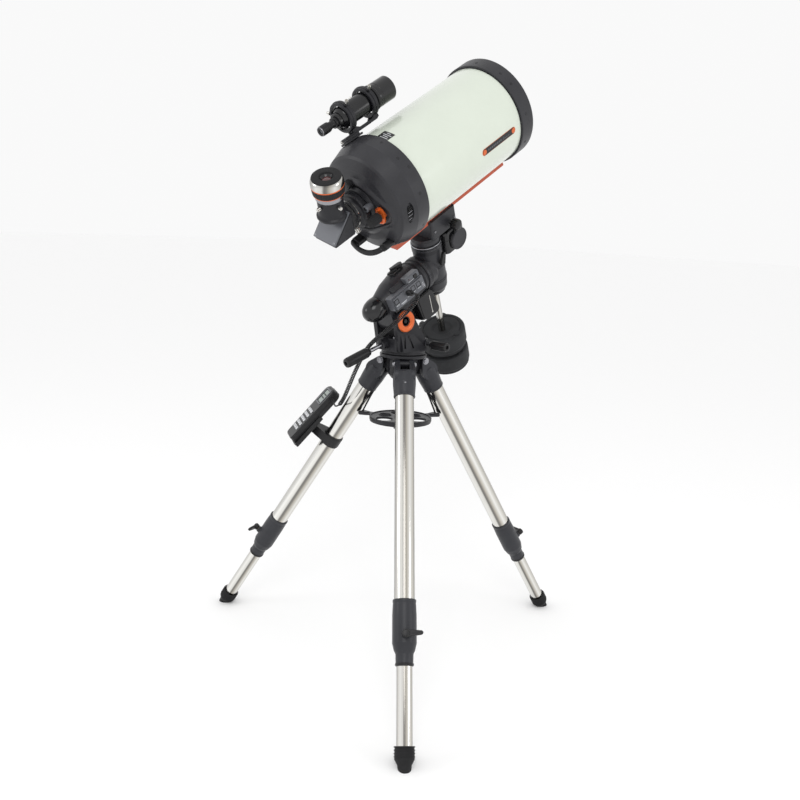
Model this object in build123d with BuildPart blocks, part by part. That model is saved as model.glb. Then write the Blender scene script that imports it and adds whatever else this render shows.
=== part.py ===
from math import atan2, cos, degrees, hypot, pi, radians, sin, tan
import os

from build123d import *

os.makedirs("parts", exist_ok=True)

# Frame: +Y is north, the way the tube points over the ground; +Z is up; +X is east.
# The origin is the point on the floor below the centre of the tripod.

# ---- driving dimensions (mm, degrees) ----
latitude = 32.0            # height of the polar axis above the horizon
hour_turn = 15.0           # turn of the polar shaft away from the meridian, towards the east
diagonal_turn = 7.0        # further lean of the eyepiece towards the east
tripod_turn = -8.0         # turn of the tripod below the head
foot_radius = 605.0
hinge_radius = 58.0
hinge_height = 855.0
upper_tube_radius = 25.4   # 2 inch tube
lower_tube_radius = 19.05  # 1.5 inch tube
tube_wall = 1.5
head_top = 876.0
tray_height = 692.0
pivot_y = -42.0
pivot_z = 972.0
crossing = Vector(0, 85, 1121)   # where the polar and declination axes cross
tube_offset = 303.0        # from the crossing up to the optical axis
ota_radius = 132.0         # optical tube
cell_radius = 138.0
rear_rim = -95.0           # stations along the optical axis, from the declination axis
front_rim = 287.0
front_face = 335.0
shaft_gap = 0.05           # radial clearance of a running fit
clear = 0.4                # gap between parts that move past each other

# ---- directions ----
north = Vector(0, 1, 0)
east = Vector(1, 0, 0)
up = Vector(0, 0, 1)
polar_dir = north * cos(radians(latitude)) + up * sin(radians(latitude))
polar_up = up * cos(radians(latitude)) - north * sin(radians(latitude))
dec_dir = polar_up * cos(radians(hour_turn)) + east * sin(radians(hour_turn))
side_dir = dec_dir.cross(polar_dir)      # sideways on the turned head, towards the west
eyepiece_lean = radians(hour_turn + diagonal_turn)
eyepiece_dir = polar_up * cos(eyepiece_lean) + east * sin(eyepiece_lean)

# ---- working planes ----
polar_plane = Plane(origin=crossing, x_dir=-east, z_dir=polar_dir)       # x west, y up, z along the axis
dec_plane = Plane(origin=crossing, x_dir=polar_dir, z_dir=dec_dir)       # x forward, y west, z out
ota_plane = Plane(origin=crossing + dec_dir * tube_offset, x_dir=side_dir, z_dir=polar_dir)
meridian = Plane.YZ                                                      # x north, y up


# ---- helpers ----
def moved(frame, x, y, z, x_dir=None, z_dir=None):
    """A plane at local point (x, y, z) of frame, turned to the given directions if any."""
    return Plane(
        origin=frame.from_local_coords(Vector(x, y, z)),
        x_dir=x_dir or frame.x_dir,
        z_dir=z_dir or frame.z_dir,
    )


def turned(frame, profile):
    """A solid of revolution about frame's z axis, from (radius, height) points."""
    side = Plane(origin=frame.origin, x_dir=frame.x_dir, z_dir=-frame.y_dir)
    with BuildPart() as piece:
        with BuildSketch(side):
            with BuildLine():
                Polyline(*profile, close=True)
            make_face()
        revolve(axis=Axis(frame.origin, frame.z_dir))
    return piece.part


def rod(frame, radius, start, end):
    """A round bar along frame's z axis."""
    with BuildPart() as piece:
        with BuildSketch(frame.offset(start)):
            Circle(radius)
        extrude(amount=end - start)
    return piece.part


def block(frame, width, depth, start, end, corner=0.0, edge=0.0):
    """A box along frame's z axis, with rounded corners and softened end edges."""
    with BuildPart() as piece:
        with BuildSketch(frame.offset(start)):
            if corner:
                RectangleRounded(width, depth, corner)
            else:
                Rectangle(width, depth)
        extrude(amount=end - start)
        if edge:
            ends = piece.faces().sort_by(Axis(frame.origin, frame.z_dir))
            fillet(ends[-1].edges() + ends[0].edges(), radius=edge)
    return piece.part


def hull_plate(frame, circles, start, end):
    """A plate whose outline wraps the given circles (x, y, radius)."""
    with BuildPart() as piece:
        with BuildSketch(frame.offset(start)):
            for x, y, radius in circles:
                with Locations((x, y)):
                    Circle(radius)
            make_hull()
        extrude(amount=end - start)
    return piece.part


def fluted_knob(frame, radius, start, end, flutes):
    """A round grip with a ring of scooped flutes."""
    with BuildPart() as piece:
        with BuildSketch(frame.offset(start)):
            Circle(radius)
            with PolarLocations(radius * 1.06, flutes):
                Circle(radius * 0.16, mode=Mode.SUBTRACT)
        extrude(amount=end - start)
        ends = piece.faces().sort_by(Axis(frame.origin, frame.z_dir))
        chamfer(ends[-1].edges() + ends[0].edges(), length=radius * 0.06)
    return piece.part


def join(*solids):
    """One solid from several that touch or overlap."""
    with BuildPart() as piece:
        for solid in solids:
            add(solid)
    return piece


def save(piece, name):
    piece.part.label = name
    export_step(piece.part, f"parts/{name}.step")


# ---- tripod head, centre rod and tray ----
floor_plane = Plane.XY
bolt_radius = 4.0
lug_half = 12.0
rod_radius = 5.0
leg_bearings = {"north": 90 + tripod_turn, "southeast": -30 + tripod_turn, "southwest": 210 + tripod_turn}
spread = atan2(foot_radius - hinge_radius, hinge_height)
leg_length = hypot(foot_radius - hinge_radius, hinge_height)


def leg_plane(bearing):
    """Origin at the hinge, x across the leg, y outwards and up, z down the leg."""
    outward = Vector(cos(radians(bearing)), sin(radians(bearing)), 0)
    across = Vector(-sin(radians(bearing)), cos(radians(bearing)), 0)
    down_leg = outward * sin(spread) - up * cos(spread)
    return Plane(origin=outward * hinge_radius + up * hinge_height, x_dir=across, z_dir=down_leg)


def head_lug(bearing):
    """The tongue on the head that one leg is bolted to."""
    plane = leg_plane(bearing)
    outward = Vector(cos(radians(bearing)), sin(radians(bearing)), 0)
    side = Plane(origin=(0, 0, 0), x_dir=outward, z_dir=-plane.x_dir)
    with BuildPart() as lug:
        with BuildSketch(side.offset(-lug_half)):
            with Locations((hinge_radius, hinge_height)):
                Circle(10)
            with Locations((30, 858)):
                Circle(9)
            with Locations((30, 825)):
                Circle(9)
            make_hull()
        extrude(amount=2 * lug_half)
    return lug.part


head_body = turned(floor_plane, [
    (rod_radius + 0.1, 806), (30, 806), (40, 818), (40, 858), (50, 866), (64, 868),
    (65, 870), (65, head_top), (rod_radius + 0.1, head_top),
])
azimuth_y = 42.0
azimuth_z = 906.0
with BuildPart() as tripod_head:
    add(head_body)
    add(turned(Plane(origin=(0, azimuth_y, 0)), [(0, 870), (7, 870), (7, 912), (6, 914), (0, 914)]))
    for bearing in leg_bearings.values():
        add(head_lug(bearing))
    add(rod(floor_plane, rod_radius + 0.1, 800, 880), mode=Mode.SUBTRACT)
    for bearing in leg_bearings.values():
        hinge_line = moved(leg_plane(bearing), 0, 0, 0, z_dir=leg_plane(bearing).x_dir,
            x_dir=leg_plane(bearing).y_dir)
        add(rod(hinge_line, bolt_radius, -lug_half - 1, lug_half + 1), mode=Mode.SUBTRACT)
save(tripod_head, "tripod_head")

# One bolt per leg, with its head and nut, and the rod that holds the mount and the tray.
ear_outer = 27.0
with BuildPart() as head_fasteners:
    for bearing in leg_bearings.values():
        hinge_line = moved(leg_plane(bearing), 0, 0, 0, z_dir=leg_plane(bearing).x_dir,
            x_dir=leg_plane(bearing).y_dir)
        add(rod(hinge_line, bolt_radius, -ear_outer - 6, ear_outer + 6))
        with BuildSketch(hinge_line.offset(ear_outer + clear)):
            RegularPolygon(7.5, 6)
        extrude(amount=5)
        with BuildSketch(hinge_line.offset(-ear_outer - clear)):
            RegularPolygon(7.5, 6)
        extrude(amount=-5)
    add(turned(floor_plane, [
        (0, 644), (rod_radius, 644), (rod_radius, 768), (17, 770), (19, 774), (19, 792),
        (16, 796), (rod_radius, 798), (rod_radius, 912), (0, 912),
    ]))
save(head_fasteners, "head_fasteners")

tray_radius = 86.0
tray_thickness = 6.0
arm_end = 129.0
eyepiece_hole = 15.9     # 1.25 inch eyepiece barrels drop in
with BuildPart() as spreader_tray:
    with BuildSketch(Plane.XY.offset(tray_height - tray_thickness / 2)):
        Circle(tray_radius)
        for bearing in leg_bearings.values():
            with Locations(Rotation(0, 0, bearing)):
                with Locations((arm_end / 2, 0)):
                    Rectangle(arm_end, 24)
        with PolarLocations(54, 3, start_angle=60 + tripod_turn - 30):
            Circle(24, mode=Mode.SUBTRACT)
        with PolarLocations(48, 3, start_angle=90 + tripod_turn):
            Circle(eyepiece_hole, mode=Mode.SUBTRACT)
    extrude(amount=tray_thickness)
    add(rod(Plane.XY, tray_radius, tray_height - 8, tray_height - 3))
    add(rod(Plane.XY, tray_radius - 5, tray_height - 9, tray_height - 3), mode=Mode.SUBTRACT)
    add(rod(Plane.XY, 16, tray_height - 8, tray_height + 8))
    add(rod(Plane.XY, rod_radius + 0.1, tray_height - 20, tray_height + 20), mode=Mode.SUBTRACT)
save(spreader_tray, "spreader_tray")

tray_bottom = tray_height - 8
with BuildPart() as tray_knob:
    with BuildSketch(Plane.XY.offset(tray_bottom - clear - 20)):
        Circle(22)
        with PolarLocations(27, 3):
            Circle(11, mode=Mode.SUBTRACT)
    extrude(amount=14)
    add(rod(Plane.XY, 11, tray_bottom - clear - 20, tray_bottom - clear))
    add(rod(Plane.XY, rod_radius + shaft_gap, tray_bottom - 40, tray_bottom), mode=Mode.SUBTRACT)
save(tray_knob, "tray_knob")

# ---- legs ----
socket_end = 93.0
collar_top = 635.0
throat_top = 745.0
collar_bottom = 783.0
lower_tube_top = 520.0
lower_tube_end = leg_length - 15
knob_station = 716.0


def leg_castings(leg):
    """The hinge socket at the top of the upper tube and the clamp collar at its foot."""
    hinge_side = moved(leg, 0, 0, 0, x_dir=leg.y_dir, z_dir=leg.x_dir)
    bore = upper_tube_radius + 0.02
    with BuildPart() as castings:
        add(turned(leg, [(0, 26), (29, 26), (31, 34), (31, 60), (28.5, socket_end), (0, socket_end)]))
        with BuildSketch(hinge_side.offset(-ear_outer)):
            Circle(11)
            with Locations((0, 34)):
                Circle(26)
            make_hull()
        extrude(amount=2 * ear_outer)
        with BuildSketch(leg.offset(-20)):
            Rectangle(2 * (lug_half + clear), 80)
        extrude(amount=48, mode=Mode.SUBTRACT)
        with BuildSketch(leg.offset(34)):
            Circle(bore)
        extrude(amount=80, mode=Mode.SUBTRACT)
        add(rod(hinge_side, bolt_radius + shaft_gap, -40, 40), mode=Mode.SUBTRACT)
        add(turned(leg, [
            (bore, collar_top), (28, collar_top), (29, 645), (30, 668), (30, 735), (26, 752), (22, 760),
            (21.5, collar_bottom), (lower_tube_radius + shaft_gap, collar_bottom),
            (lower_tube_radius + shaft_gap, throat_top), (bore, throat_top),
        ]))
        boss = moved(leg, 0, 0, knob_station, x_dir=leg.x_dir, z_dir=leg.y_dir)
        add(rod(boss, 10, 27, 36))
        add(rod(boss, 4 + shaft_gap, 20, 40), mode=Mode.SUBTRACT)
    return castings


def upper_tube(leg):
    return join(turned(leg, [
        (upper_tube_radius - tube_wall, 36), (upper_tube_radius, 36),
        (upper_tube_radius, throat_top - 1), (upper_tube_radius - tube_wall, throat_top - 1),
    ]))


def lower_tube(leg):
    """The sliding tube with the guide bush at its top."""
    guide = upper_tube_radius - tube_wall - 0.1
    return join(turned(leg, [
        (lower_tube_radius - tube_wall, lower_tube_top), (guide, lower_tube_top),
        (guide, lower_tube_top + 28),
        (lower_tube_radius, lower_tube_top + 28), (lower_tube_radius, lower_tube_end),
        (lower_tube_radius - tube_wall, lower_tube_end),
    ]))


def rubber_foot(leg):
    """A boot on the tube's end, cut flat where it stands on the floor."""
    inner = lower_tube_radius + 0.02
    with BuildPart() as foot:
        add(turned(leg, [
            (inner, leg_length - 46), (22.5, leg_length - 46), (23.5, leg_length - 42),
            (24, leg_length - 20),
            (17, leg_length - 8), (15, leg_length + 12), (0, leg_length + 12), (0, lower_tube_end),
            (inner, lower_tube_end),
        ]))
        add(block(Plane.XY, 3000, 3000, -100, 0), mode=Mode.SUBTRACT)
    return foot


def lock_knob(leg):
    """A clamping screw with a paddle handle."""
    boss = moved(leg, 0, 0, knob_station, x_dir=leg.x_dir, z_dir=leg.y_dir)
    with BuildPart() as knob:
        add(rod(boss, 4, 30.2, 44))
        add(turned(boss, [(0, 40), (7, 40), (9, 43), (9, 50), (6, 54), (0, 54)]))
        with BuildSketch(boss.offset(43.5)):
            with Locations((15, 0)):
                SlotOverall(52, 13)
        extrude(amount=7)
    return knob


for leg_name, bearing in leg_bearings.items():
    leg = leg_plane(bearing)
    save(leg_castings(leg), f"{leg_name}_leg_castings")
    save(upper_tube(leg), f"{leg_name}_upper_tube")
    save(lower_tube(leg), f"{leg_name}_lower_tube")
    save(rubber_foot(leg), f"{leg_name}_foot")
    save(lock_knob(leg), f"{leg_name}_lock_knob")

# ---- mount base: azimuth plate and the yoke that holds the latitude pivot ----
base_bottom = head_top + clear
base_top = 892.0
cheek_inner = 34.0
cheek_outer = 48.0
axle_radius = 12.0
screw_slope = radians(19.5)
screw_dir = -north * cos(screw_slope) - up * sin(screw_slope)
screw_plane = Plane(origin=(0, -70, 908), x_dir=east, z_dir=screw_dir)
azimuth_plane = Plane(origin=(0, azimuth_y, azimuth_z), x_dir=north, z_dir=east)


def cheek(side):
    """One side of the yoke, with its ribbed skirt; side is +1 for east."""
    plane = Plane(origin=(0, 0, 0), x_dir=north, z_dir=east)
    inner = cheek_inner if side > 0 else -cheek_outer
    with BuildPart() as plate:
        with BuildSketch(plane.offset(inner)):
            with Locations((pivot_y, pivot_z)):
                Circle(32)
            with Locations((-50, 894)):
                Circle(8)
            with Locations((46, 894)):
                Circle(8)
            make_hull()
        extrude(amount=cheek_outer - cheek_inner)
        with BuildSketch(Plane.XY.offset(base_top - 4)):
            with Locations((side * 47, -4)):
                Rectangle(22, 92)
        with BuildSketch(Plane.XY.offset(938)):
            with Locations((side * 43, -34)):
                Rectangle(9, 44)
        loft()
        for start, lean in ((-44, 0.05), (-14, -0.42)):
            slot = Plane(origin=(side * 58, start, 898), x_dir=east, z_dir=Vector(0, lean, 1))
            add(block(slot, 20, 6, 0, 42), mode=Mode.SUBTRACT)
    return plate.part


with BuildPart() as mount_base:
    add(turned(Plane.XY, [
        (0, base_bottom), (58, base_bottom), (60, base_bottom + 2), (60, 888), (56, base_top),
        (0, base_top),
    ]))
    add(cheek(+1))
    add(cheek(-1))
    add(block(moved(Plane.XY, 0, -52, 0), 80, 26, base_top - 4, 922, corner=6))
    add(block(moved(Plane.XY, 0, azimuth_y, 0), 84, 24, base_top - 4, 920, corner=6))
    add(rod(screw_plane, 14, -26, 10))
    add(rod(azimuth_plane, 11, -52, 52))
    add(rod(Plane.XY, 24, base_top - 1, 990), mode=Mode.SUBTRACT)
    add(rod(Plane.XY, rod_radius + 1, 870, base_top + 1), mode=Mode.SUBTRACT)
    add(rod(screw_plane, 6 + shaft_gap, -50, 20), mode=Mode.SUBTRACT)
    add(rod(azimuth_plane, 5 + shaft_gap, -60, 60), mode=Mode.SUBTRACT)
    add(block(moved(Plane.XY, 0, azimuth_y, 0), 24, 17, 870, 916), mode=Mode.SUBTRACT)
    add(rod(moved(Plane.YZ, pivot_y, pivot_z, 0), axle_radius + 0.02, -60, 60), mode=Mode.SUBTRACT)
save(mount_base, "mount_base")

pivot_plane = Plane(origin=(0, pivot_y, pivot_z), x_dir=north, z_dir=east)
ring_outer = 29.0
ring_inner = 13.5
with BuildPart() as latitude_rings:
    for side in (1, -1):
        face = Plane(origin=(side * cheek_outer, pivot_y, pivot_z), x_dir=north, z_dir=east * side)
        add(turned(face, [(ring_inner, 0), (ring_outer, 0), (ring_outer, 4), (ring_outer - 3, 7),
            (ring_inner + 4, 7), (ring_inner, 4)]))
save(latitude_rings, "latitude_rings")

with BuildPart() as latitude_axle:
    add(rod(pivot_plane, axle_radius, -cheek_outer - 2, cheek_outer + 2))
save(latitude_axle, "latitude_axle")

with BuildPart() as latitude_screw:
    add(rod(screw_plane, 6, -24, 60))
    add(fluted_knob(screw_plane, 13, 56, 140, 8))
save(latitude_screw, "latitude_screw")


def azimuth_knob(side):
    plane = Plane(origin=(0, azimuth_y, azimuth_z), x_dir=north, z_dir=east * side)
    return join(rod(plane, 5, 12.5, 72), fluted_knob(plane, 14, 68, 128, 8))


save(azimuth_knob(+1), "azimuth_knob_east")
save(azimuth_knob(-1), "azimuth_knob_west")

# ---- polar housing ----
lug_drop = (crossing - Vector(0, pivot_y, pivot_z)).dot(polar_up)
lug_back = (crossing - Vector(0, pivot_y, pivot_z)).dot(polar_dir)
lug_face = Plane(origin=crossing, x_dir=polar_dir, z_dir=east)


def latitude_lug(grow, reach):
    """The tongue between the cheeks that carries the housing on the latitude axle."""
    circles = [(-lug_back, -lug_drop, 29 + grow), (6 - lug_back, -20, 29 + grow),
        (50 - lug_back, -22, 22 + grow)]
    return hull_plate(lug_face, circles, -reach, reach)


collar_station = -63.0
housing_bore = 20.0
wheel_station = -112.0
with BuildPart() as polar_housing:
    add(turned(polar_plane, [
        (0, collar_station - clear), (47, collar_station - clear), (49, -68), (49, -86), (51, -90),
        (51, -128),
        (44, -168), (31, -205), (28, -212), (30, -222), (28, -240), (21, -254), (10, -261), (0, -263),
    ]))
    add(latitude_lug(0, cheek_inner - clear))
    add(rod(pivot_plane, axle_radius + shaft_gap, -60, 60), mode=Mode.SUBTRACT)
    add(turned(polar_plane, [(0, 0), (housing_bore, 0), (housing_bore, -194), (0, -194)]),
        mode=Mode.SUBTRACT)
    add(turned(polar_plane, [(0, -98), (42, -98), (42, -126), (0, -126)]), mode=Mode.SUBTRACT)
save(polar_housing, "polar_housing")

with BuildPart() as polar_shaft:
    add(turned(polar_plane, [
        (13, -190), (housing_bore - shaft_gap, -190), (housing_bore - shaft_gap, wheel_station - 6),
        (38, wheel_station - 6), (38, wheel_station + 6), (housing_bore - shaft_gap, wheel_station + 6),
        (housing_bore - shaft_gap, collar_station), (13, collar_station),
    ]))
save(polar_shaft, "polar_shaft")

# ---- electronics box on the east side, and the polar drive cover below it ----
panel_face = 60.0
panel_back = 34.2
panel_mid = Plane(origin=crossing + polar_dir * -146 + polar_up * 5, x_dir=polar_dir, z_dir=east)
with BuildPart() as control_panel:
    add(block(panel_mid, 124, 40, panel_back, panel_face - 3, corner=4))
    add(block(panel_mid, 118, 34, panel_face - 3, panel_face, corner=3))
    add(block(moved(panel_mid, 34, 27, 0), 50, 22, panel_back, panel_face - 8, corner=3))
    for k in range(4):
        socket_at = moved(panel_mid, -50 if k == 0 else -5 + 21 * (k - 1), 5, 0)
        add(block(socket_at, 13, 11, panel_face - 9, panel_face + 1), mode=Mode.SUBTRACT)
    add(rod(moved(panel_mid, 52, -7, 0), 3, panel_face - 9, panel_face + 1), mode=Mode.SUBTRACT)
    add(turned(polar_plane, [
        (0, 0), (47, 0), (51.3, -90), (51.3, -128), (44.3, -168), (31.3, -205), (28.3, -212), (0, -212),
    ]), mode=Mode.SUBTRACT)
save(control_panel, "control_panel")

cover_plane = Plane(origin=crossing + polar_dir * -88 + polar_up * -70, x_dir=polar_dir, z_dir=-polar_up)
with BuildPart() as polar_drive_cover:
    add(block(cover_plane, 66, 80, -34, 38, corner=18, edge=8))
    add(turned(polar_plane, [(0, 0), (47.3, 0), (49.3, -68), (51.3, -90), (51.3, -128), (40, -200),
        (0, -200)]), mode=Mode.SUBTRACT)
    add(block(panel_mid, 126, 42, panel_back - clear, panel_face + 1), mode=Mode.SUBTRACT)
    add(latitude_lug(0.3, cheek_inner), mode=Mode.SUBTRACT)
save(polar_drive_cover, "polar_drive_cover")

clutch_plane = Plane(origin=crossing + polar_dir * -98, x_dir=polar_dir, z_dir=polar_up)
with BuildPart() as polar_clutch:
    add(rod(clutch_plane, 5, 51.5, 60))
    add(hull_plate(clutch_plane, [(0, 0, 8), (-26, 6, 5)], 56, 64))
save(polar_clutch, "polar_clutch")

# ---- declination housing, its motor cover and shaft ----
dec_radius = 41.0
dec_top = 81.0
dec_bottom = -90.0
dec_bore = 20.0
with BuildPart() as dec_housing:
    add(turned(dec_plane, [
        (0, dec_bottom), (22, dec_bottom), (32, -84), (39, -68), (dec_radius, -48), (dec_radius, dec_top),
        (0, dec_top),
    ]))
    add(turned(polar_plane, [(0, collar_station), (45, collar_station), (46, -59), (46, -20), (34, 0),
        (0, 0)]))
    add(turned(dec_plane, [(0, -62), (dec_bore, -62), (dec_bore, 48), (35, 48), (35, 70), (dec_bore, 70),
        (dec_bore, 90), (0, 90)]),
        mode=Mode.SUBTRACT)
    add(turned(dec_plane, [(0, -100), (9, -100), (9, -70), (0, -70)]), mode=Mode.SUBTRACT)
save(dec_housing, "dec_housing")

motor_plane = Plane(origin=crossing + polar_dir * 80 + dec_dir * 50, x_dir=polar_dir, z_dir=dec_dir)
with BuildPart() as dec_motor_cover:
    add(block(motor_plane, 84, 74, -36, 34, corner=16, edge=6))
    disc_plane = moved(motor_plane, 6, 0, -4, x_dir=polar_dir, z_dir=-side_dir)
    add(turned(disc_plane, [(0, 30), (31, 30), (31, 39), (29, 42), (0, 42)]))
    add(turned(dec_plane, [(0, -100), (dec_radius + 0.02, -100), (dec_radius + 0.02, 100), (0, 100)]),
        mode=Mode.SUBTRACT)
save(dec_motor_cover, "dec_motor_cover")

saddle_bottom = dec_top + clear
with BuildPart() as dec_shaft:
    add(turned(dec_plane, [
        (12, -60), (dec_bore - shaft_gap, -60), (dec_bore - shaft_gap, 53), (33, 53), (33, 65),
        (dec_bore - shaft_gap, 65), (dec_bore - shaft_gap, saddle_bottom), (12, saddle_bottom),
    ]))
save(dec_shaft, "dec_shaft")

dec_clutch_plane = Plane(origin=crossing + dec_dir * 22, x_dir=dec_dir, z_dir=-side_dir)
with BuildPart() as dec_clutch:
    add(rod(dec_clutch_plane, 5, dec_radius + 0.5, 50))
    add(hull_plate(dec_clutch_plane, [(0, 0, 8), (24, -10, 5)], 46, 54))
save(dec_clutch, "dec_clutch")

# ---- saddle and dovetail ----
bar_bottom = tube_offset - 158
bar_top = bar_bottom + 15
bar_half = 33.0
bar_top_half = 29.0
saddle_centre = 40.0
jaw_top = bar_bottom + 7
saddle_plane = moved(dec_plane, saddle_centre, 0, 0)
groove_plane = Plane(origin=crossing, x_dir=side_dir, z_dir=polar_dir)
saddle_knob_line = moved(dec_plane, saddle_centre + 22, 0, 112, x_dir=polar_dir, z_dir=-side_dir)


def dovetail(start, end, grow):
    """A length of dovetail, wide at the bottom; grow widens it for clearance."""
    with BuildPart() as length:
        with BuildSketch(groove_plane.offset(start)):
            with BuildLine():
                Polyline(
                    (-bar_half - grow, bar_bottom - grow), (bar_half + grow, bar_bottom - grow),
                    (bar_half + grow, bar_bottom + 3), (bar_top_half + grow, bar_top + grow),
                    (-bar_top_half - grow, bar_top + grow), (-bar_half - grow, bar_bottom + 3), close=True,
                )
            make_face()
        extrude(amount=end - start)
    return length.part


with BuildPart() as saddle:
    add(turned(dec_plane, [(0, saddle_bottom), (39, saddle_bottom), (40, 84), (40, 94), (36, 100),
        (0, 100)]))
    add(block(saddle_plane, 102, 84, 98, jaw_top, corner=8))
    add(dovetail(-70, 130, clear), mode=Mode.SUBTRACT)
    add(rod(saddle_knob_line, 5 + shaft_gap, 22, 60), mode=Mode.SUBTRACT)
save(saddle, "saddle")

with BuildPart() as saddle_knob:
    add(rod(saddle_knob_line, 5, 24, 56))
    add(fluted_knob(saddle_knob_line, 15, 52, 74, 7))
save(saddle_knob, "saddle_knob")

bar_rear = -136.0
bar_front = 318.0
with BuildPart() as dovetail_bar:
    add(dovetail(bar_rear, bar_front, 0))
    for station in (-116, 311):
        foot = Plane(origin=crossing + polar_dir * station, x_dir=side_dir, z_dir=dec_dir)
        add(block(foot, 54, 14 if station > 0 else 30, bar_top - 1, tube_offset - cell_radius + 4))
    add(rod(ota_plane, cell_radius + 0.02, -300, 400), mode=Mode.SUBTRACT)
save(dovetail_bar, "dovetail_bar")

# ---- counterweights ----
shaft_radius = 10.0
weight_radius = 68.0
weight_height = 60.0
upper_weight_top = -232.0
weight_gap = 11.0


def counterweight(top):
    """A cast disc with a dished face, and the screw that locks it to the bar."""
    bottom = top - weight_height
    bore = shaft_radius + 0.1
    with BuildPart() as weight:
        add(turned(dec_plane, [
            (bore, top - 6), (30, top - 6), (38, top), (58, top), (64, top - 3), (weight_radius, top - 10),
            (weight_radius, bottom + 8), (62, bottom), (bore, bottom),
        ]))
        screw = moved(dec_plane, 0, 0, top - 24, x_dir=dec_dir, z_dir=side_dir)
        add(rod(screw, 5.5, 0, 80), mode=Mode.SUBTRACT)
        add(rod(dec_plane, bore, bottom - 5, top + 5), mode=Mode.SUBTRACT)
        add(turned(screw, [(0, 14), (4.9, 14), (4.9, 70), (11, 70), (12, 72), (12, 86), (10, 88), (0, 88)]))
    return weight


save(counterweight(upper_weight_top), "counterweight_upper")
save(counterweight(upper_weight_top - weight_height - weight_gap), "counterweight_lower")

bar_end = upper_weight_top - 2 * weight_height - weight_gap - 22
with BuildPart() as counterweight_bar:
    add(turned(dec_plane, [
        (0, -71), (9 - 0.02, -71), (9 - 0.02, dec_bottom), (15, dec_bottom - clear), (15, dec_bottom - 9),
        (shaft_radius, dec_bottom - 11), (shaft_radius, bar_end), (0, bar_end),
    ]))
    add(turned(dec_plane, [(0, bar_end), (15, bar_end), (15, bar_end - 5), (7, bar_end - 7),
        (7, bar_end - 12), (0, bar_end - 12)]))
save(counterweight_bar, "counterweight_bar")

# ---- optical tube ----
lap = 14.0
with BuildPart() as optical_tube:
    add(turned(ota_plane, [
        (ota_radius - 2, rear_rim - lap), (ota_radius, rear_rim - lap), (ota_radius, front_rim + lap),
        (ota_radius - 2, front_rim + lap),
    ]))
save(optical_tube, "optical_tube")

with BuildPart() as front_cell:
    add(turned(ota_plane, [
        (ota_radius + 0.02, front_rim), (cell_radius - 1.5, front_rim), (cell_radius, front_rim + 1.5),
        (cell_radius, front_face - 3),
        (cell_radius - 3, front_face), (cell_radius - 12, front_face), (121.5, front_face - 6),
        (120.5, front_face - 10),
        (120.5, front_face - 17), (115, front_face - 17), (115, front_rim + lap + 1),
        (ota_radius + 0.02, front_rim + lap + 1),
    ]))
save(front_cell, "front_cell")

secondary_radius = 43.0
with BuildPart() as corrector_plate:
    add(turned(ota_plane, [(34.1, front_face - 16.5), (120, front_face - 16.5), (120, front_face - 11.5),
        (34.1, front_face - 11.5)]))
save(corrector_plate, "corrector_plate")

with BuildPart() as secondary_mirror:
    add(turned(ota_plane, [
        (0, front_face - 42), (34, front_face - 42), (34, front_face - 11.3),
        (secondary_radius, front_face - 11.3),
        (secondary_radius, front_face - 4), (40, front_face - 1), (30, front_face), (0, front_face),
    ]))
save(secondary_mirror, "secondary_mirror")

cell_back = -178.0
back_face = -196.0
with BuildPart() as rear_cell:
    add(turned(ota_plane, [
        (ota_radius + 0.02, rear_rim), (cell_radius - 1, rear_rim), (cell_radius, rear_rim - 1),
        (cell_radius, rear_rim - 42),
        (126, cell_back), (120, cell_back - 4), (96, back_face + 5), (60, back_face), (48, back_face - 1),
        (48, back_face - 9), (27.5, back_face - 9),
        (27.5, back_face + 4), (118, cell_back + 10), (125, -140), (125, rear_rim - lap - 1),
        (ota_radius + 0.02, rear_rim - lap - 1),
    ]))
    vent = Plane(origin=ota_plane.from_local_coords(Vector(0, 0, -156)), x_dir=polar_dir, z_dir=-side_dir)
    with BuildSketch(vent.offset(128.5)):
        Ellipse(9, 24)
    extrude(amount=20, mode=Mode.SUBTRACT)
    pocket = moved(ota_plane, -74, -2, 0)
    add(rod(pocket, 11.2, back_face - 20, back_face + 40), mode=Mode.SUBTRACT)
save(rear_cell, "rear_cell")

baffle_bottom = back_face - 9
with BuildPart() as baffle_tube:
    add(turned(ota_plane, [(25, baffle_bottom), (27.4, baffle_bottom), (27.4, 90), (25, 90)]))
save(baffle_tube, "baffle_tube")

mirror_back = -150.0
with BuildPart() as primary_mirror:
    add(turned(ota_plane, [
        (27.4 + shaft_gap, mirror_back), (60, mirror_back), (112, mirror_back + 12),
        (112, mirror_back + 30),
        (60, mirror_back + 22), (40, mirror_back + 20), (36, mirror_back + 50),
        (27.4 + shaft_gap, mirror_back + 50),
    ]))
save(primary_mirror, "primary_mirror")

# ---- focuser ----
focus_line = moved(ota_plane, -74, -2, back_face - 2, z_dir=-polar_dir)
with BuildPart() as focuser_plate:
    with BuildSketch(focus_line.offset(0.3)):
        SlotOverall(44, 26, rotation=90)
    extrude(amount=5)
    add(rod(focus_line, 11, -34, 3))
    add(rod(focus_line, 6 + shaft_gap, -40, 20), mode=Mode.SUBTRACT)
    with BuildSketch(focus_line.offset(4)):
        with Locations((0, 17), (0, -17)):
            Circle(2.5)
    extrude(amount=5)
save(focuser_plate, "focuser_plate")

with BuildPart() as focus_knob:
    add(rod(focus_line, 6, -30, 12))
    add(fluted_knob(focus_line, 11.5, 9, 42, 12))
save(focus_knob, "focus_knob")

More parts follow.
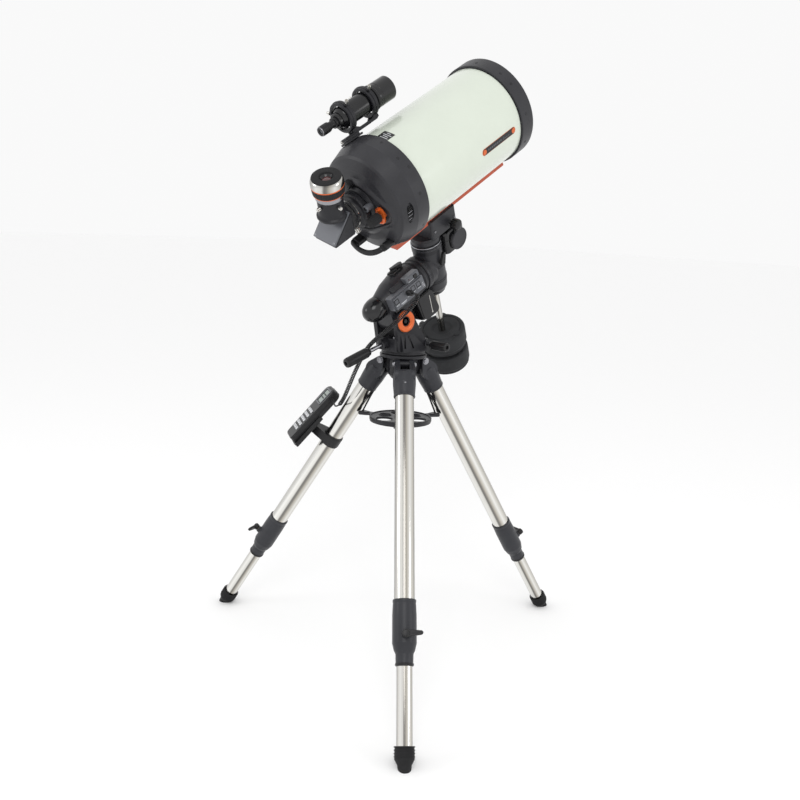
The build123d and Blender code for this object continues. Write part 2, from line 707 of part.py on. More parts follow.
# ---- carry handle on the back of the rear cell ----
handle_radius = 116.0
handle_half = 31.0
with BuildPart() as carry_handle:
    with BuildSketch(ota_plane.offset(back_face - 34)):
        with BuildLine():
            outer = CenterArc((0, 0), handle_radius + 9, 270 - handle_half - 10, 2 * handle_half)
            inner = CenterArc((0, 0), handle_radius - 9, 270 - handle_half - 10, 2 * handle_half)
            Line(outer @ 0, inner @ 0)
            Line(outer @ 1, inner @ 1)
        make_face()
    extrude(amount=12)
    for turn in (-handle_half - 10 + 5, handle_half - 10 - 5):
        arm = Plane(origin=ota_plane.origin, x_dir=ota_plane.x_dir.rotate(Axis(ota_plane.origin,
            polar_dir), -90 + turn), z_dir=polar_dir)
        add(block(moved(arm, handle_radius, 0, 0), 18, 18, back_face - 34, -181))
    add(turned(ota_plane, [
        (0, -100), (126.2, cell_back), (120.2, cell_back - 4.2), (96, back_face + 4.8),
        (60, back_face - 0.2), (0, back_face - 0.2),
    ]), mode=Mode.SUBTRACT)
save(carry_handle, "carry_handle")

# ---- visual back, diagonal and eyepiece ----
port_station = -287.0
diagonal_half = 33.0
holder_top = 82.0
with BuildPart() as visual_back:
    add(turned(ota_plane, [
        (25.5, back_face - 9.2), (44, back_face - 9.2), (45, back_face - 12), (45, back_face - 24),
        (37, back_face - 27),
        (34, back_face - 44), (25.5, back_face - 44),
    ]))
    screw_line = Plane(origin=ota_plane.from_local_coords(Vector(0, 0, back_face - 36)), x_dir=polar_dir,
        z_dir=-dec_dir)
    add(turned(screw_line, [(0, 29), (3, 29), (3, 40), (6, 40), (6, 50), (0, 50)]))
save(visual_back, "visual_back")

port_plane = Plane(origin=ota_plane.from_local_coords(Vector(0, 0, port_station)), x_dir=polar_dir,
    z_dir=eyepiece_dir)
port_side = eyepiece_dir.cross(polar_dir)
with BuildPart() as diagonal:
    prism_plane = Plane(origin=port_plane.origin, x_dir=polar_dir, z_dir=port_side)
    with BuildSketch(prism_plane.offset(-diagonal_half)):
        with BuildLine():
            Polyline((34, -36), (34, 34), (-34, 34), (-44, 24), (24, -44), close=True)
        make_face()
    extrude(amount=2 * diagonal_half)
    add(turned(moved(port_plane, 0, 0, 0, x_dir=port_side, z_dir=polar_dir), [
        (21, 30), (30, 30), (30, 38), (25.4, 38), (25.4, 80), (21, 80),
    ]))
    add(turned(port_plane, [(25.5, 32), (31, 32), (31, holder_top - 2), (29, holder_top),
        (25.5, holder_top)]))
    add(rod(port_plane, 25.5, 20, 100), mode=Mode.SUBTRACT)
    add(rod(moved(port_plane, 0, 0, 0, x_dir=port_side, z_dir=polar_dir), 21, 6, 90), mode=Mode.SUBTRACT)
    for angle in (-60, 60):
        lock_dir = port_plane.x_dir.rotate(Axis(port_plane.origin, eyepiece_dir), 180 + angle)
        screw = moved(port_plane, 0, 0, holder_top - 12, x_dir=eyepiece_dir, z_dir=lock_dir)
        add(turned(screw, [(0, 30), (2.5, 30), (2.5, 37), (5, 37), (5, 46), (0, 46)]))
save(diagonal, "diagonal")

with BuildPart() as eyepiece:
    add(turned(moved(port_plane, 0, 0, holder_top + clear), [
        (23.5, -48), (25.4, -48), (25.4, 0), (32, 0), (34, 4), (34, 14), (32, 17), (35, 18), (39, 22),
        (40, 26),
        (40, 41), (38.5, 43), (39.5, 45), (39.5, 55), (37, 59), (14, 59.5), (12, 55), (12, 50), (23.5, 48),
    ]))
save(eyepiece, "eyepiece")

# ---- finder ----
finder_turn = -31.0
finder_distance = 196.0
finder_rear = -180.0
finder_front = 62.0
finder_dir = dec_dir * cos(radians(finder_turn)) - side_dir * sin(radians(finder_turn))
finder_plane = Plane(origin=ota_plane.origin + finder_dir * finder_distance, x_dir=finder_dir,
    z_dir=polar_dir)
with BuildPart() as finder_scope:
    add(turned(finder_plane, [
        (0, finder_rear), (11, finder_rear), (12, finder_rear + 3), (12, finder_rear + 34),
        (9, finder_rear + 36), (9, finder_rear + 46),
        (19, finder_rear + 52), (20, finder_rear + 62), (27, finder_rear + 70), (27, finder_front - 60),
        (31, finder_front - 52),
        (31, finder_front), (28, finder_front), (28, finder_front - 40), (0, finder_front - 40),
    ]))
save(finder_scope, "finder_scope")

ring_stations = (-100.0, -20.0)
bracket_foot = cell_radius + 0.2
with BuildPart() as finder_bracket:
    for station in ring_stations:
        add(turned(finder_plane, [(31, station - 8), (38, station - 8), (38, station + 8),
            (31, station + 8)]))
        for angle in (60, 180, 300):
            grip_dir = finder_dir.rotate(Axis((0, 0, 0), polar_dir), angle)
            grip = Plane(origin=finder_plane.origin + polar_dir * station, x_dir=polar_dir, z_dir=grip_dir)
            add(turned(grip, [(0, 27.3), (2, 27.3), (2, 43), (4.5, 43), (4.5, 53), (0, 53)]))
    spine = Plane(origin=finder_plane.origin, x_dir=finder_dir.cross(polar_dir), z_dir=polar_dir)
    add(block(moved(spine, 0, -41, 0), 26, 10, -135, ring_stations[1] + 8, corner=2))
    foot = Plane(origin=ota_plane.origin + polar_dir * -118, x_dir=polar_dir, z_dir=finder_dir)
    add(block(foot, 34, 30, cell_radius - 4, finder_distance - 46))
    add(rod(ota_plane, cell_radius + 0.02, -300, 400), mode=Mode.SUBTRACT)
save(finder_bracket, "finder_bracket")

# ---- handset, its holder on the south-west leg, and its cord ----
handset_leg = leg_plane(leg_bearings["southwest"])
handset_down = Vector(-0.318, -0.575, -0.755).normalized()
handset_face = Vector(-0.294, -0.697, 0.655)
handset_face = (handset_face - handset_down * handset_face.dot(handset_down)).normalized()
handset_plane = Plane(                       # x down the handset, y to its cord side, z out of its face
    origin=handset_leg.from_local_coords(Vector(20, 81, 270)), x_dir=handset_down, z_dir=handset_face,
)
half_thick = 14.0
cord_entry = -66.0
key_rows = 5
key_pitch = 16.0
with BuildPart() as handset_case:
    add(hull_plate(handset_plane, [(-69, 16, 24), (-69, -16, 24), (85, 24, 12), (85, -24, 12)],
        -half_thick, half_thick))
    faces = handset_case.faces().sort_by(Axis(handset_plane.origin, handset_face))
    chamfer(faces[-1].edges() + faces[0].edges(), length=3)
    cord_boss = moved(handset_plane, cord_entry, 0, 0, x_dir=handset_down, z_dir=handset_plane.y_dir)
    add(rod(cord_boss, 7, 34, 44))
    add(block(moved(handset_plane, -58, 0, 0), 46, 56, half_thick - 1.5, half_thick + 1, corner=2),
        mode=Mode.SUBTRACT)
    add(block(moved(handset_plane, 30, 0, 0), 90, 58, 6, 11), mode=Mode.SUBTRACT)
    with BuildSketch(moved(handset_plane, 30, 0, 10)):
        with GridLocations(key_pitch, 17, key_rows, 3):
            RectangleRounded(9.8, 12.8, 2)
    extrude(amount=8, mode=Mode.SUBTRACT)
save(handset_case, "handset_case")

with BuildPart() as handset_keys:
    add(block(moved(handset_plane, 30, 0, 0), 88, 56, 7.6, 8.6))
    with BuildSketch(moved(handset_plane, 30, 0, 8.6)):
        with GridLocations(key_pitch, 17, key_rows, 3):
            RectangleRounded(9, 12, 1.6)
    extrude(amount=7)
save(handset_keys, "handset_keys")

with BuildPart() as handset_holder:
    add(block(moved(handset_plane, 46, 0, 0), 110, 89, -half_thick - 3.4, -5, corner=4))
    add(hull_plate(handset_leg, [(0, 0, 29), (18, 52, 13)], 288, 314))
    add(turned(handset_leg, [(0, 284), (28, 284), (28, 318), (0, 318)]))
    add(block(moved(handset_plane, 30, 0, 0), 134.8, 81.4, -half_thick - clear, 10), mode=Mode.SUBTRACT)
    add(rod(handset_leg, upper_tube_radius + 0.02, 250, 350), mode=Mode.SUBTRACT)
save(handset_holder, "handset_holder")

plug_plane = moved(panel_mid, -5, 5, 0)
plug_end = panel_face + 18
with BuildPart() as cord_plug:
    add(block(plug_plane, 12.6, 10.6, panel_face - 8.8, panel_face + 4))
    add(turned(plug_plane, [(0, panel_face + 4), (7.5, panel_face + 4), (7.5, plug_end - 2),
        (6.5, plug_end), (0, plug_end)]))
save(cord_plug, "cord_plug")

cord_radius = 6.5        # outside of the curly cord
cord_route = [
    plug_plane.from_local_coords(Vector(0, 0, plug_end)),
    plug_plane.from_local_coords(Vector(0, 0, plug_end + 19)),
    Vector(108, -58, 1034),
    Vector(100, -76, 1010),
    Vector(74, -94, 977),
    Vector(38, -105, 943),
    Vector(-1, -108, 917),
    Vector(-34, -109, 886),
    Vector(-57, -114, 843),
    Vector(-74, -122, 799),
    Vector(-88, -129, 757),
    Vector(-103, -134, 727),
    handset_plane.from_local_coords(Vector(cord_entry + 4, 106, 2)),
    handset_plane.from_local_coords(Vector(cord_entry, 74, 0)),
    handset_plane.from_local_coords(Vector(cord_entry, 44, 0)),
]
runs = [b - a for a, b in zip(cord_route, cord_route[1:])]
bend_radii = []
for run, following in zip(runs, runs[1:]):
    half_turn = radians(run.get_angle(following)) / 2
    bend_radii.append(0.45 * min(run.length, following.length) / tan(half_turn))
with BuildPart() as handset_cord:
    with BuildLine() as cord_path:
        FilletPolyline(*cord_route, radius=bend_radii)
    with BuildSketch(Plane(origin=cord_path.line @ 0, z_dir=cord_path.line % 0)):
        Circle(cord_radius)
    sweep(path=cord_path.line)
save(handset_cord, "handset_cord")
print("runs", [round(run.length) for run in runs], "bend radii", [round(radius) for radius in bend_radii])
cord_length = sum(edge.length for edge in cord_path.edges())
print("cord length", cord_length, "volume", handset_cord.part.volume, "of",
    pi * cord_radius**2 * cord_length)
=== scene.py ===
from math import atan2, cos, hypot, inf, pi, radians, sin, sqrt

import bmesh
import bpy
from mathutils import Matrix, Vector


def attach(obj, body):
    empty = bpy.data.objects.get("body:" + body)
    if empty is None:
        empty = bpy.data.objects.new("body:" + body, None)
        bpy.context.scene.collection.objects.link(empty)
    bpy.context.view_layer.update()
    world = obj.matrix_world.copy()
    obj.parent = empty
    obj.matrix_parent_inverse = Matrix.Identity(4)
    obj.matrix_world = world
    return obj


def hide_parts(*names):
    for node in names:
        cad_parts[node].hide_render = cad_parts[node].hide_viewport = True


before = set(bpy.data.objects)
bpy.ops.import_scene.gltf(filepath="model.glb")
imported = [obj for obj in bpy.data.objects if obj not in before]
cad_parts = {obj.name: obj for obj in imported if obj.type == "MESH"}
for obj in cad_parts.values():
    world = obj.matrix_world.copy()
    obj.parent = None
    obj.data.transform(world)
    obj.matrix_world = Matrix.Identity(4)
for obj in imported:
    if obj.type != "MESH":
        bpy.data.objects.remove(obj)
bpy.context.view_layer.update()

MM = 0.001
AXIS = 0.01               # how close a solid's profile comes to its axis
SKIN = 132.05             # just over the paint of the optical tube

# Lengths below are in millimetres; placed() and the mesh helpers turn them into metres.
# +Y is north, the way the tube points over the ground; +Z is up; +X is east.

# ---- directions and frames ----
latitude = radians(32)
hour_turn = radians(15)
diagonal_turn = radians(7)
north, east, up = Vector((0, 1, 0)), Vector((1, 0, 0)), Vector((0, 0, 1))
polar_dir = north * cos(latitude) + up * sin(latitude)
polar_up = up * cos(latitude) - north * sin(latitude)
dec_dir = polar_up * cos(hour_turn) + east * sin(hour_turn)
side_dir = dec_dir.cross(polar_dir)                       # towards the west on the turned head
eyepiece_dir = polar_up * cos(hour_turn + diagonal_turn) + east * sin(hour_turn + diagonal_turn)
crossing = Vector((0, 85, 1121))
tube_centre = crossing + dec_dir * 303
pivot = Vector((0, -42, 972))


def placed(origin, x_dir, z_dir):
    """A matrix from local millimetres to metres: x and z along the given directions."""
    z = z_dir.normalized()
    x = (x_dir - z * x_dir.dot(z)).normalized()
    y = z.cross(x)
    turn = Matrix((x, y, z)).transposed().to_4x4()
    return Matrix.Translation(origin * MM) @ turn @ Matrix.Scale(MM, 4)


def shifted(place, x=0.0, y=0.0, z=0.0):
    return place @ Matrix.Translation((x, y, z))


def in_mm(place, x, y, z):
    """A point of a place, in millimetres."""
    return place @ Vector((x, y, z)) * 1000


def axis(place, column):
    """One of a place's own directions: 0 for x, 1 for y, 2 for z."""
    return Vector(place.to_3x3().col[column]).normalized()


def turned_about_z(place, angle):
    return place @ Matrix.Rotation(angle, 4, "Z")


tube_place = placed(tube_centre, side_dir, polar_dir)     # x west, y away from the mount, z forward
polar_place = placed(crossing, -east, polar_dir)
dec_place = placed(crossing, polar_dir, dec_dir)
floor_place = placed(Vector((0, 0, 0)), east, up)


def on_tube(angle, station, radius):
    """A place on a cylinder about the optical axis; angle in degrees east of the side away from the mount."""
    outward = dec_dir * cos(radians(angle)) - side_dir * sin(radians(angle))
    return placed(tube_centre + polar_dir * station + outward * radius, polar_dir, outward)


# ---- camera ----
def add_camera():
    azimuth, elevation, roll = radians(47.75), radians(11.34), radians(2.56)
    ahead = Vector((-sin(azimuth) * cos(elevation), cos(azimuth) * cos(elevation), -sin(elevation)))
    right = Vector((cos(azimuth), sin(azimuth), 0))
    above = right.cross(ahead)
    level_right = right * cos(roll) + above * sin(roll)
    level_up = above * cos(roll) - right * sin(roll)
    data = bpy.data.cameras.new("camera")
    data.sensor_width = 36
    data.lens = 39.97
    camera = bpy.data.objects.new("camera", data)
    turn = Matrix((level_right, level_up, -ahead)).transposed().to_4x4()
    camera.matrix_world = Matrix.Translation((1.8040, -1.6431, 1.2327)) @ turn
    bpy.context.scene.collection.objects.link(camera)
    bpy.context.scene.camera = camera


add_camera()


# ---- materials ----
def shader(name):
    material = bpy.data.materials.new(name)
    material.use_nodes = True
    tree = material.node_tree
    return material, tree, tree.nodes["Principled BSDF"]


def node(tree, kind, **values):
    made = tree.nodes.new(kind)
    for socket, value in values.items():
        made.inputs[socket.replace("_", " ")].default_value = value
    return made


def surface(name, color, rough, metal=0.0, coat=0.0, grain=900.0, bump=0.05, mottle=0.12, wear=0.08,
    shine=0.5):
    """A finish with colour mottling, uneven roughness and a fine grain in its bump."""
    material, tree, bsdf = shader(name)
    link = tree.links.new
    place = tree.nodes.new("ShaderNodeTexCoord")
    broad = node(tree, "ShaderNodeTexNoise", Scale=14.0, Detail=5.0, Roughness=0.6)
    fine = node(tree, "ShaderNodeTexNoise", Scale=grain, Detail=3.0, Roughness=0.55)
    for noise in (broad, fine):
        link(place.outputs["Object"], noise.inputs["Vector"])
    ramp = tree.nodes.new("ShaderNodeValToRGB")
    dark = [channel * (1 - mottle) for channel in color]
    light = [min(1.0, channel * (1 + mottle) + 0.004) for channel in color]
    for end, position, shade in zip(ramp.color_ramp.elements, (0.3, 0.7), (dark, light)):
        end.position = position
        end.color = (*shade, 1)
    link(broad.outputs["Fac"], ramp.inputs["Fac"])
    link(ramp.outputs["Color"], bsdf.inputs["Base Color"])
    uneven = tree.nodes.new("ShaderNodeMapRange")
    uneven.inputs["To Min"].default_value = max(0.02, rough - wear)
    uneven.inputs["To Max"].default_value = min(1.0, rough + wear)
    link(broad.outputs["Fac"], uneven.inputs["Value"])
    link(uneven.outputs["Result"], bsdf.inputs["Roughness"])
    relief = node(tree, "ShaderNodeBump", Strength=bump, Distance=0.0004)
    link(fine.outputs["Fac"], relief.inputs["Height"])
    link(relief.outputs["Normal"], bsdf.inputs["Normal"])
    bsdf.inputs["Metallic"].default_value = metal
    bsdf.inputs["Coat Weight"].default_value = coat
    bsdf.inputs["Coat Roughness"].default_value = 0.12
    bsdf.inputs["Specular IOR Level"].default_value = shine
    return material


def lens_glass(name, tint, rough=0.03, metal=0.0):
    """Coated glass: mostly a dark tinted mirror-like surface."""
    return surface(name, tint, rough, metal=metal, coat=1.0, grain=40.0, bump=0.0, mottle=0.15, wear=0.01)


def clear_glass(name):
    material = surface(name, (0.75, 0.85, 0.88), 0.03, coat=1.0, grain=40.0, bump=0.0, mottle=0.03, wear=0.01)
    bsdf = material.node_tree.nodes["Principled BSDF"]
    bsdf.inputs["Transmission Weight"].default_value = 0.92
    bsdf.inputs["IOR"].default_value = 1.45
    return material


def reflection_painted_metal(name, depth=1.0):
    """Polished metal with painted reflections: light and dark lengthwise bands in its base colour, set by how
    the surface faces along the camera's right; depth scales them.
    """
    material = surface(name, (0.62, 0.60, 0.56), 0.13, metal=1.0, grain=700.0, bump=0.04, mottle=0.03,
        wear=0.04)
    tree = material.node_tree
    bsdf = tree.nodes["Principled BSDF"]
    place = tree.nodes.new("ShaderNodeTexCoord")
    # painted reflections: the base colour is banded light and dark by how the normal faces the camera's
    # right, (0.672, 0.740, 0)
    across = tree.nodes.new("ShaderNodeVectorMath")
    across.operation = "DOT_PRODUCT"
    across.inputs[1].default_value = (0.672, 0.740, 0.0)
    tree.links.new(place.outputs["Normal"], across.inputs[0])
    spread = tree.nodes.new("ShaderNodeMapRange")
    spread.inputs["From Min"].default_value = -1.0
    spread.inputs["From Max"].default_value = 1.0
    tree.links.new(across.outputs["Value"], spread.inputs["Value"])
    ramp = tree.nodes.new("ShaderNodeValToRGB")
    # the painted reflection bands, from dark to bright, standing in for reflections of the studio
    stops = [(0.0, (0.16, 0.15, 0.14)), (0.07, (0.55, 0.54, 0.51)), (0.20, (0.84, 0.83, 0.80)),
        (0.38, (0.74, 0.73, 0.69)), (0.45, (0.20, 0.19, 0.18)), (0.52, (0.24, 0.23, 0.21)),
        (0.60, (0.50, 0.47, 0.41)), (0.76, (0.82, 0.81, 0.78)), (0.90, (0.60, 0.58, 0.53)),
        (1.0, (0.15, 0.14, 0.13))]
    stops = [(position, tuple(channel * depth for channel in color)) for position, color in stops]
    for end, (position, color) in zip(ramp.color_ramp.elements, (stops[0], stops[-1])):
        end.position = position
        end.color = (*color, 1)
    for position, color in stops[1:-1]:
        ramp.color_ramp.elements.new(position).color = (*color, 1)
    tree.links.new(spread.outputs["Result"], ramp.inputs["Fac"])
    tree.links.new(ramp.outputs["Color"], bsdf.inputs["Base Color"])
    return material


PEARL = surface("pearl_paint", (0.64, 0.69, 0.60), 0.24, coat=0.6, grain=2500.0, bump=0.02, mottle=0.012,
    wear=0.03)
CHARCOAL = surface("charcoal_powder_coat", (0.024, 0.024, 0.028), 0.40, coat=0.05, grain=1500.0, bump=0.22,
    shine=0.30)
BLACK_CAST = surface("black_castings", (0.013, 0.013, 0.016), 0.38, coat=0.05, grain=1300.0, bump=0.25,
    mottle=0.15, shine=0.28)
LEG_CAST = surface("leg_castings", (0.025, 0.026, 0.031), 0.40, coat=0.05, grain=1200.0, bump=0.20,
    shine=0.30)
GLOSS = surface("black_gloss_plastic", (0.006, 0.006, 0.007), 0.18, coat=0.25, grain=500.0, bump=0.03,
    mottle=0.2, wear=0.05, shine=0.35)
PLASTIC = surface("black_moulded_plastic", (0.010, 0.010, 0.011), 0.36, coat=0.08, grain=1100.0, bump=0.15,
    mottle=0.15, shine=0.28)
RUBBER = surface("black_rubber", (0.011, 0.011, 0.012), 0.62, grain=1600.0, bump=0.28, mottle=0.2, shine=0.25)
ORANGE = surface("orange_anodised", (0.68, 0.120, 0.016), 0.30, metal=0.35, coat=0.25, grain=1600.0,
    bump=0.08, mottle=0.10)
RED_ORANGE = surface("orange_bar", (0.46, 0.075, 0.028), 0.36, metal=0.2, coat=0.12, grain=1600.0,
    bump=0.10, mottle=0.08)
CHROME = reflection_painted_metal("chrome", depth=0.8)
STEEL = surface("turned_steel", (0.32, 0.32, 0.34), 0.26, metal=1.0, bump=0.10, mottle=0.10)
LEG_STEEL = reflection_painted_metal("polished_leg_tube")
IRON = surface("textured_iron", (0.020, 0.021, 0.023), 0.66, grain=520.0, bump=0.85, mottle=0.30, wear=0.12,
    shine=0.25)
PANEL = surface("panel_grey", (0.115, 0.119, 0.132), 0.34, metal=0.3, coat=0.08, grain=1400.0, bump=0.12,
    mottle=0.08, shine=0.35)
MARK = surface("printed_marks", (0.62, 0.64, 0.66), 0.5, mottle=0.05)
DIM_MARK = surface("engraved_scale", (0.10, 0.10, 0.11), 0.5, mottle=0.05, shine=0.3)
DARK_SCREW = surface("black_oxide_screws", (0.05, 0.05, 0.055), 0.30, metal=0.8, bump=0.08, mottle=0.10)
# painted shade and real black: near-black fill in screw sockets, screw seats, vent openings, panel sockets
# and slots where there is only shade, and the real black of screen and key marks, seams and the baffle tube
DARK = surface("painted_shade_and_black", (0.006, 0.006, 0.007), 0.7, bump=0.1, mottle=0.2)
BRASS = surface("brass", (0.70, 0.50, 0.20), 0.22, metal=1.0, grain=700.0, mottle=0.08)
SCREEN = surface("handset_screen", (0.12, 0.17, 0.14), 0.18, coat=0.9, grain=300.0, bump=0.01, mottle=0.06,
    wear=0.02)
KEY = surface("silver_keys", (0.66, 0.67, 0.69), 0.35, metal=0.2, coat=0.2, mottle=0.05)
RED_LENS = lens_glass("eyepiece_coating", (0.060, 0.004, 0.004))
BLUE_LENS = lens_glass("objective_coating", (0.010, 0.018, 0.028))
MIRROR = lens_glass("mirror_coating", (0.78, 0.80, 0.82), rough=0.02, metal=1.0)
CLEAR = clear_glass("corrector_glass")
CORD = surface("cord_jacket", (0.009, 0.009, 0.010), 0.30, coat=0.2, grain=1400.0, bump=0.08, mottle=0.15,
    shine=0.35)
LABEL = surface("black_label", (0.010, 0.010, 0.011), 0.30, coat=0.15, bump=0.03, mottle=0.1, shine=0.3)

legs = ("north", "southeast", "southwest")
cad_looks = {PEARL: ["optical_tube"], CHARCOAL: ["front_cell", "rear_cell", "polar_housing", "dec_housing",
    "saddle"], BLACK_CAST: ["tripod_head", "mount_base", "spreader_tray", "finder_bracket", "diagonal",
    "visual_back"], LEG_CAST: [f"{leg}_leg_castings" for leg in legs],
    GLOSS: ["polar_drive_cover", "dec_motor_cover", "finder_scope", "eyepiece"],
    PLASTIC: ["handset_case", "handset_holder", "polar_clutch", "dec_clutch", "tray_knob", "saddle_knob",
    "cord_plug", "azimuth_knob_east", "azimuth_knob_west", "latitude_screw", "focus_knob",
    "carry_handle"] + [f"{leg}_lock_knob" for leg in legs], RUBBER: [f"{leg}_foot" for leg in legs],
    ORANGE: ["latitude_rings", "focuser_plate"], RED_ORANGE: ["dovetail_bar"],
    STEEL: ["head_fasteners", "latitude_axle", "dec_shaft", "polar_shaft"], CHROME: ["counterweight_bar"],
    LEG_STEEL: [f"{leg}_{part}_tube" for leg in legs for part in ("upper", "lower")],
    IRON: ["counterweight_upper", "counterweight_lower"], PANEL: ["control_panel"], KEY: ["handset_keys"],
    MIRROR: ["primary_mirror"], CLEAR: ["corrector_plate"], DARK: ["baffle_tube", "secondary_mirror"]}
for look, names in cad_looks.items():
    for name in names:
        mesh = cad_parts[name].data
        mesh.materials.clear()
        mesh.materials.append(look)

# the colour slot of a piece, unless its call says otherwise
usual_slots = {CHARCOAL: "charcoal", BLACK_CAST: "charcoal", PLASTIC: "black_plastic",
    LEG_CAST: "casting_grey", IRON: "weight_iron", KEY: "key_silver", ORANGE: "orange"}
usual_slots.update(dict.fromkeys((STEEL, CHROME, DARK_SCREW, BRASS), "steel"))
usual_slots.update(dict.fromkeys((GLOSS, LABEL, DIM_MARK, RED_LENS), "cover_black"))
usual_slots.update(dict.fromkeys((PANEL, MARK), "panel_grey"))
usual_slots.update(dict.fromkeys((BLUE_LENS, SCREEN), "glass"))


# ---- mesh helpers ----
def finish_mesh(name, mesh, look, body, slot=None, bevel=0.0, steps=2, smooth_angle=35):
    """Makes a piece of a mesh, on its body, with its edges rounded."""
    slot = slot or usual_slots[look]
    mesh.materials.append(look)
    for face in mesh.polygons:
        face.use_smooth = True
    mesh.set_sharp_from_angle(angle=radians(smooth_angle))
    piece = bpy.data.objects.new(name, mesh)
    bpy.context.scene.collection.objects.link(piece)
    if bevel:
        rounding = piece.modifiers.new("rounding", "BEVEL")
        rounding.width = bevel * MM
        rounding.segments = steps
        rounding.limit_method = "ANGLE"
        rounding.angle_limit = radians(28)
        rounding.harden_normals = True
    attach(piece, body)
    return piece


def from_faces(name, corners, faces):
    mesh = bpy.data.meshes.new(name)
    mesh.from_pydata([tuple(corner) for corner in corners], [], faces)
    tidy = bmesh.new()
    tidy.from_mesh(mesh)
    bmesh.ops.remove_doubles(tidy, verts=tidy.verts, dist=1e-6)
    bmesh.ops.recalc_face_normals(tidy, faces=tidy.faces)
    tidy.to_mesh(mesh)
    tidy.free()
    return mesh


def ring_faces(rings, size, closed=False):
    """The faces between neighbouring rings of corners; closed joins the last ring to the first."""
    faces = []
    for k in range(rings if closed else rings - 1):
        following = (k + 1) % rings
        for j in range(size):
            after = (j + 1) % size
            faces.append((k * size + j, following * size + j, following * size + after, k * size + after))
    return faces


def lathe(name, place, profile, look, body, slot=None, turns=96, bevel=0.0, wave=None):
    """Revolves closed (radius, height) points about local z; wave(angle, height) scales the radius."""
    corners = []
    for step in range(turns):
        angle = 2 * pi * step / turns
        for radius, height in profile:
            grown = radius * (wave(angle, height) if wave else 1.0)
            corners.append(place @ Vector((grown * cos(angle), grown * sin(angle), height)))
    mesh = from_faces(name, corners, ring_faces(turns, len(profile), closed=True))
    return finish_mesh(name, mesh, look, body, slot, bevel)


def prism(name, place, outline, low, high, look, body, slot=None, bevel=0.0, steps=2):
    """An outline of (x, y) points pulled along local z."""
    count = len(outline)
    corners = [place @ Vector((x, y, height)) for height in (low, high) for x, y in outline]
    faces = [tuple(range(count))[::-1], tuple(range(count, 2 * count))]
    faces += [(k, (k + 1) % count, count + (k + 1) % count, count + k) for k in range(count)]
    return finish_mesh(name, from_faces(name, corners, faces), look, body, slot, bevel, steps)


def rectangle(width, depth, corner=0.0, steps=5):
    """The outline of a rectangle with rounded corners."""
    if not corner:
        return [(-width / 2, -depth / 2), (width / 2, -depth / 2), (width / 2, depth / 2),
            (-width / 2, depth / 2)]
    points = []
    for quarter, (sx, sy) in enumerate(((1, 1), (-1, 1), (-1, -1), (1, -1))):
        for step in range(steps + 1):
            angle = pi / 2 * (quarter + step / steps)
            points.append((sx * (width / 2 - corner) + corner * cos(angle),
                sy * (depth / 2 - corner) + corner * sin(angle)))
    return points


def hull(circles, steps=40):
    """The outline that wraps circles given as (x, y, radius)."""
    cloud = []
    for x, y, radius in circles:
        for k in range(steps):
            angle = 2 * pi * k / steps
            cloud.append((x + radius * cos(angle), y + radius * sin(angle)))
    cloud.sort()

    def turns_left(first, second, third):
        along = (second[0] - first[0]) * (third[1] - first[1])
        across = (second[1] - first[1]) * (third[0] - first[0])
        return along - across > 1e-9

    def half(points):
        chain = []
        for point in points:
            while len(chain) > 1 and not turns_left(chain[-2], chain[-1], point):
                chain.pop()
            chain.append(point)
        return chain[:-1]

    return half(cloud) + half(cloud[::-1])


def bored(bore, points):
    """A lathe profile closed at a bore, straight in from its first and last points."""
    return [(bore, points[0][1])] + points + [(bore, points[-1][1])]


def solid(points):
    """A lathe profile closed at the axis."""
    return bored(AXIS, points)


def grooved(count, depth, low=-inf, high=inf, power=1, phase=sin):
    """A wave for lathe(): grooves along the surface between two heights."""
    def wave(angle, height):
        return 1 - (depth * max(0.0, phase(angle * count)) ** power if low < height < high else 0)

    return wave


def knurled(teeth, depth):
    """A wave for lathe(): square teeth all round."""
    return lambda angle, height: 1 + depth * (1 if sin(angle * teeth) > 0 else -1)


def smooth_curve(name, points, resolution):
    """A smooth curve led by millimetre points."""
    curve = bpy.data.curves.new(name, "CURVE")
    curve.dimensions = "3D"
    curve.resolution_u = resolution
    spline = curve.splines.new("NURBS")
    spline.points.add(len(points) - 1)
    for knot, point in zip(spline.points, points):
        knot.co = (*(point * MM), 1)
    spline.order_u = 3
    spline.use_endpoint_u = True
    return curve


def tube_through(name, points, radius, look, body):
    """A round bar along a smooth line through millimetre points."""
    curve = smooth_curve(name, points, 12)
    curve.bevel_depth = radius * MM
    curve.bevel_resolution = 5
    curve.use_fill_caps = True
    curve.materials.append(look)
    piece = bpy.data.objects.new(name, curve)
    bpy.context.scene.collection.objects.link(piece)
    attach(piece, body)
    return piece


def wrapped(name, angle, start, end, half_width, radius, lift, look, body, slot=None, columns=24, rows=8):
    """A thin plate bent round the optical tube; half_width may be a function of the share along it."""
    corners, faces = [], []
    for layer in (radius, radius + lift):
        for column in range(columns + 1):
            share = column / columns
            reach = max(half_width(share) if callable(half_width) else half_width, 0.01)
            for row in range(rows + 1):
                across = angle + (2 * row / rows - 1) * reach / radius * 180 / pi
                corners.append(on_tube(across, start + (end - start) * share, layer).translation)
    layer_size = (columns + 1) * (rows + 1)

    def at(layer, column, row):
        return layer * layer_size + column * (rows + 1) + row

    for column in range(columns):
        for row in range(rows):
            for layer in (0, 1):
                faces.append((at(layer, column, row), at(layer, column + 1, row),
                    at(layer, column + 1, row + 1), at(layer, column, row + 1)))
        for row in (0, rows):
            faces.append((at(0, column, row), at(0, column + 1, row), at(1, column + 1, row),
                at(1, column, row)))
    for row in range(rows):
        for column in (0, columns):
            faces.append((at(0, column, row), at(0, column, row + 1), at(1, column, row + 1),
                at(1, column, row)))
    return finish_mesh(name, from_faces(name, corners, faces), look, body, slot)


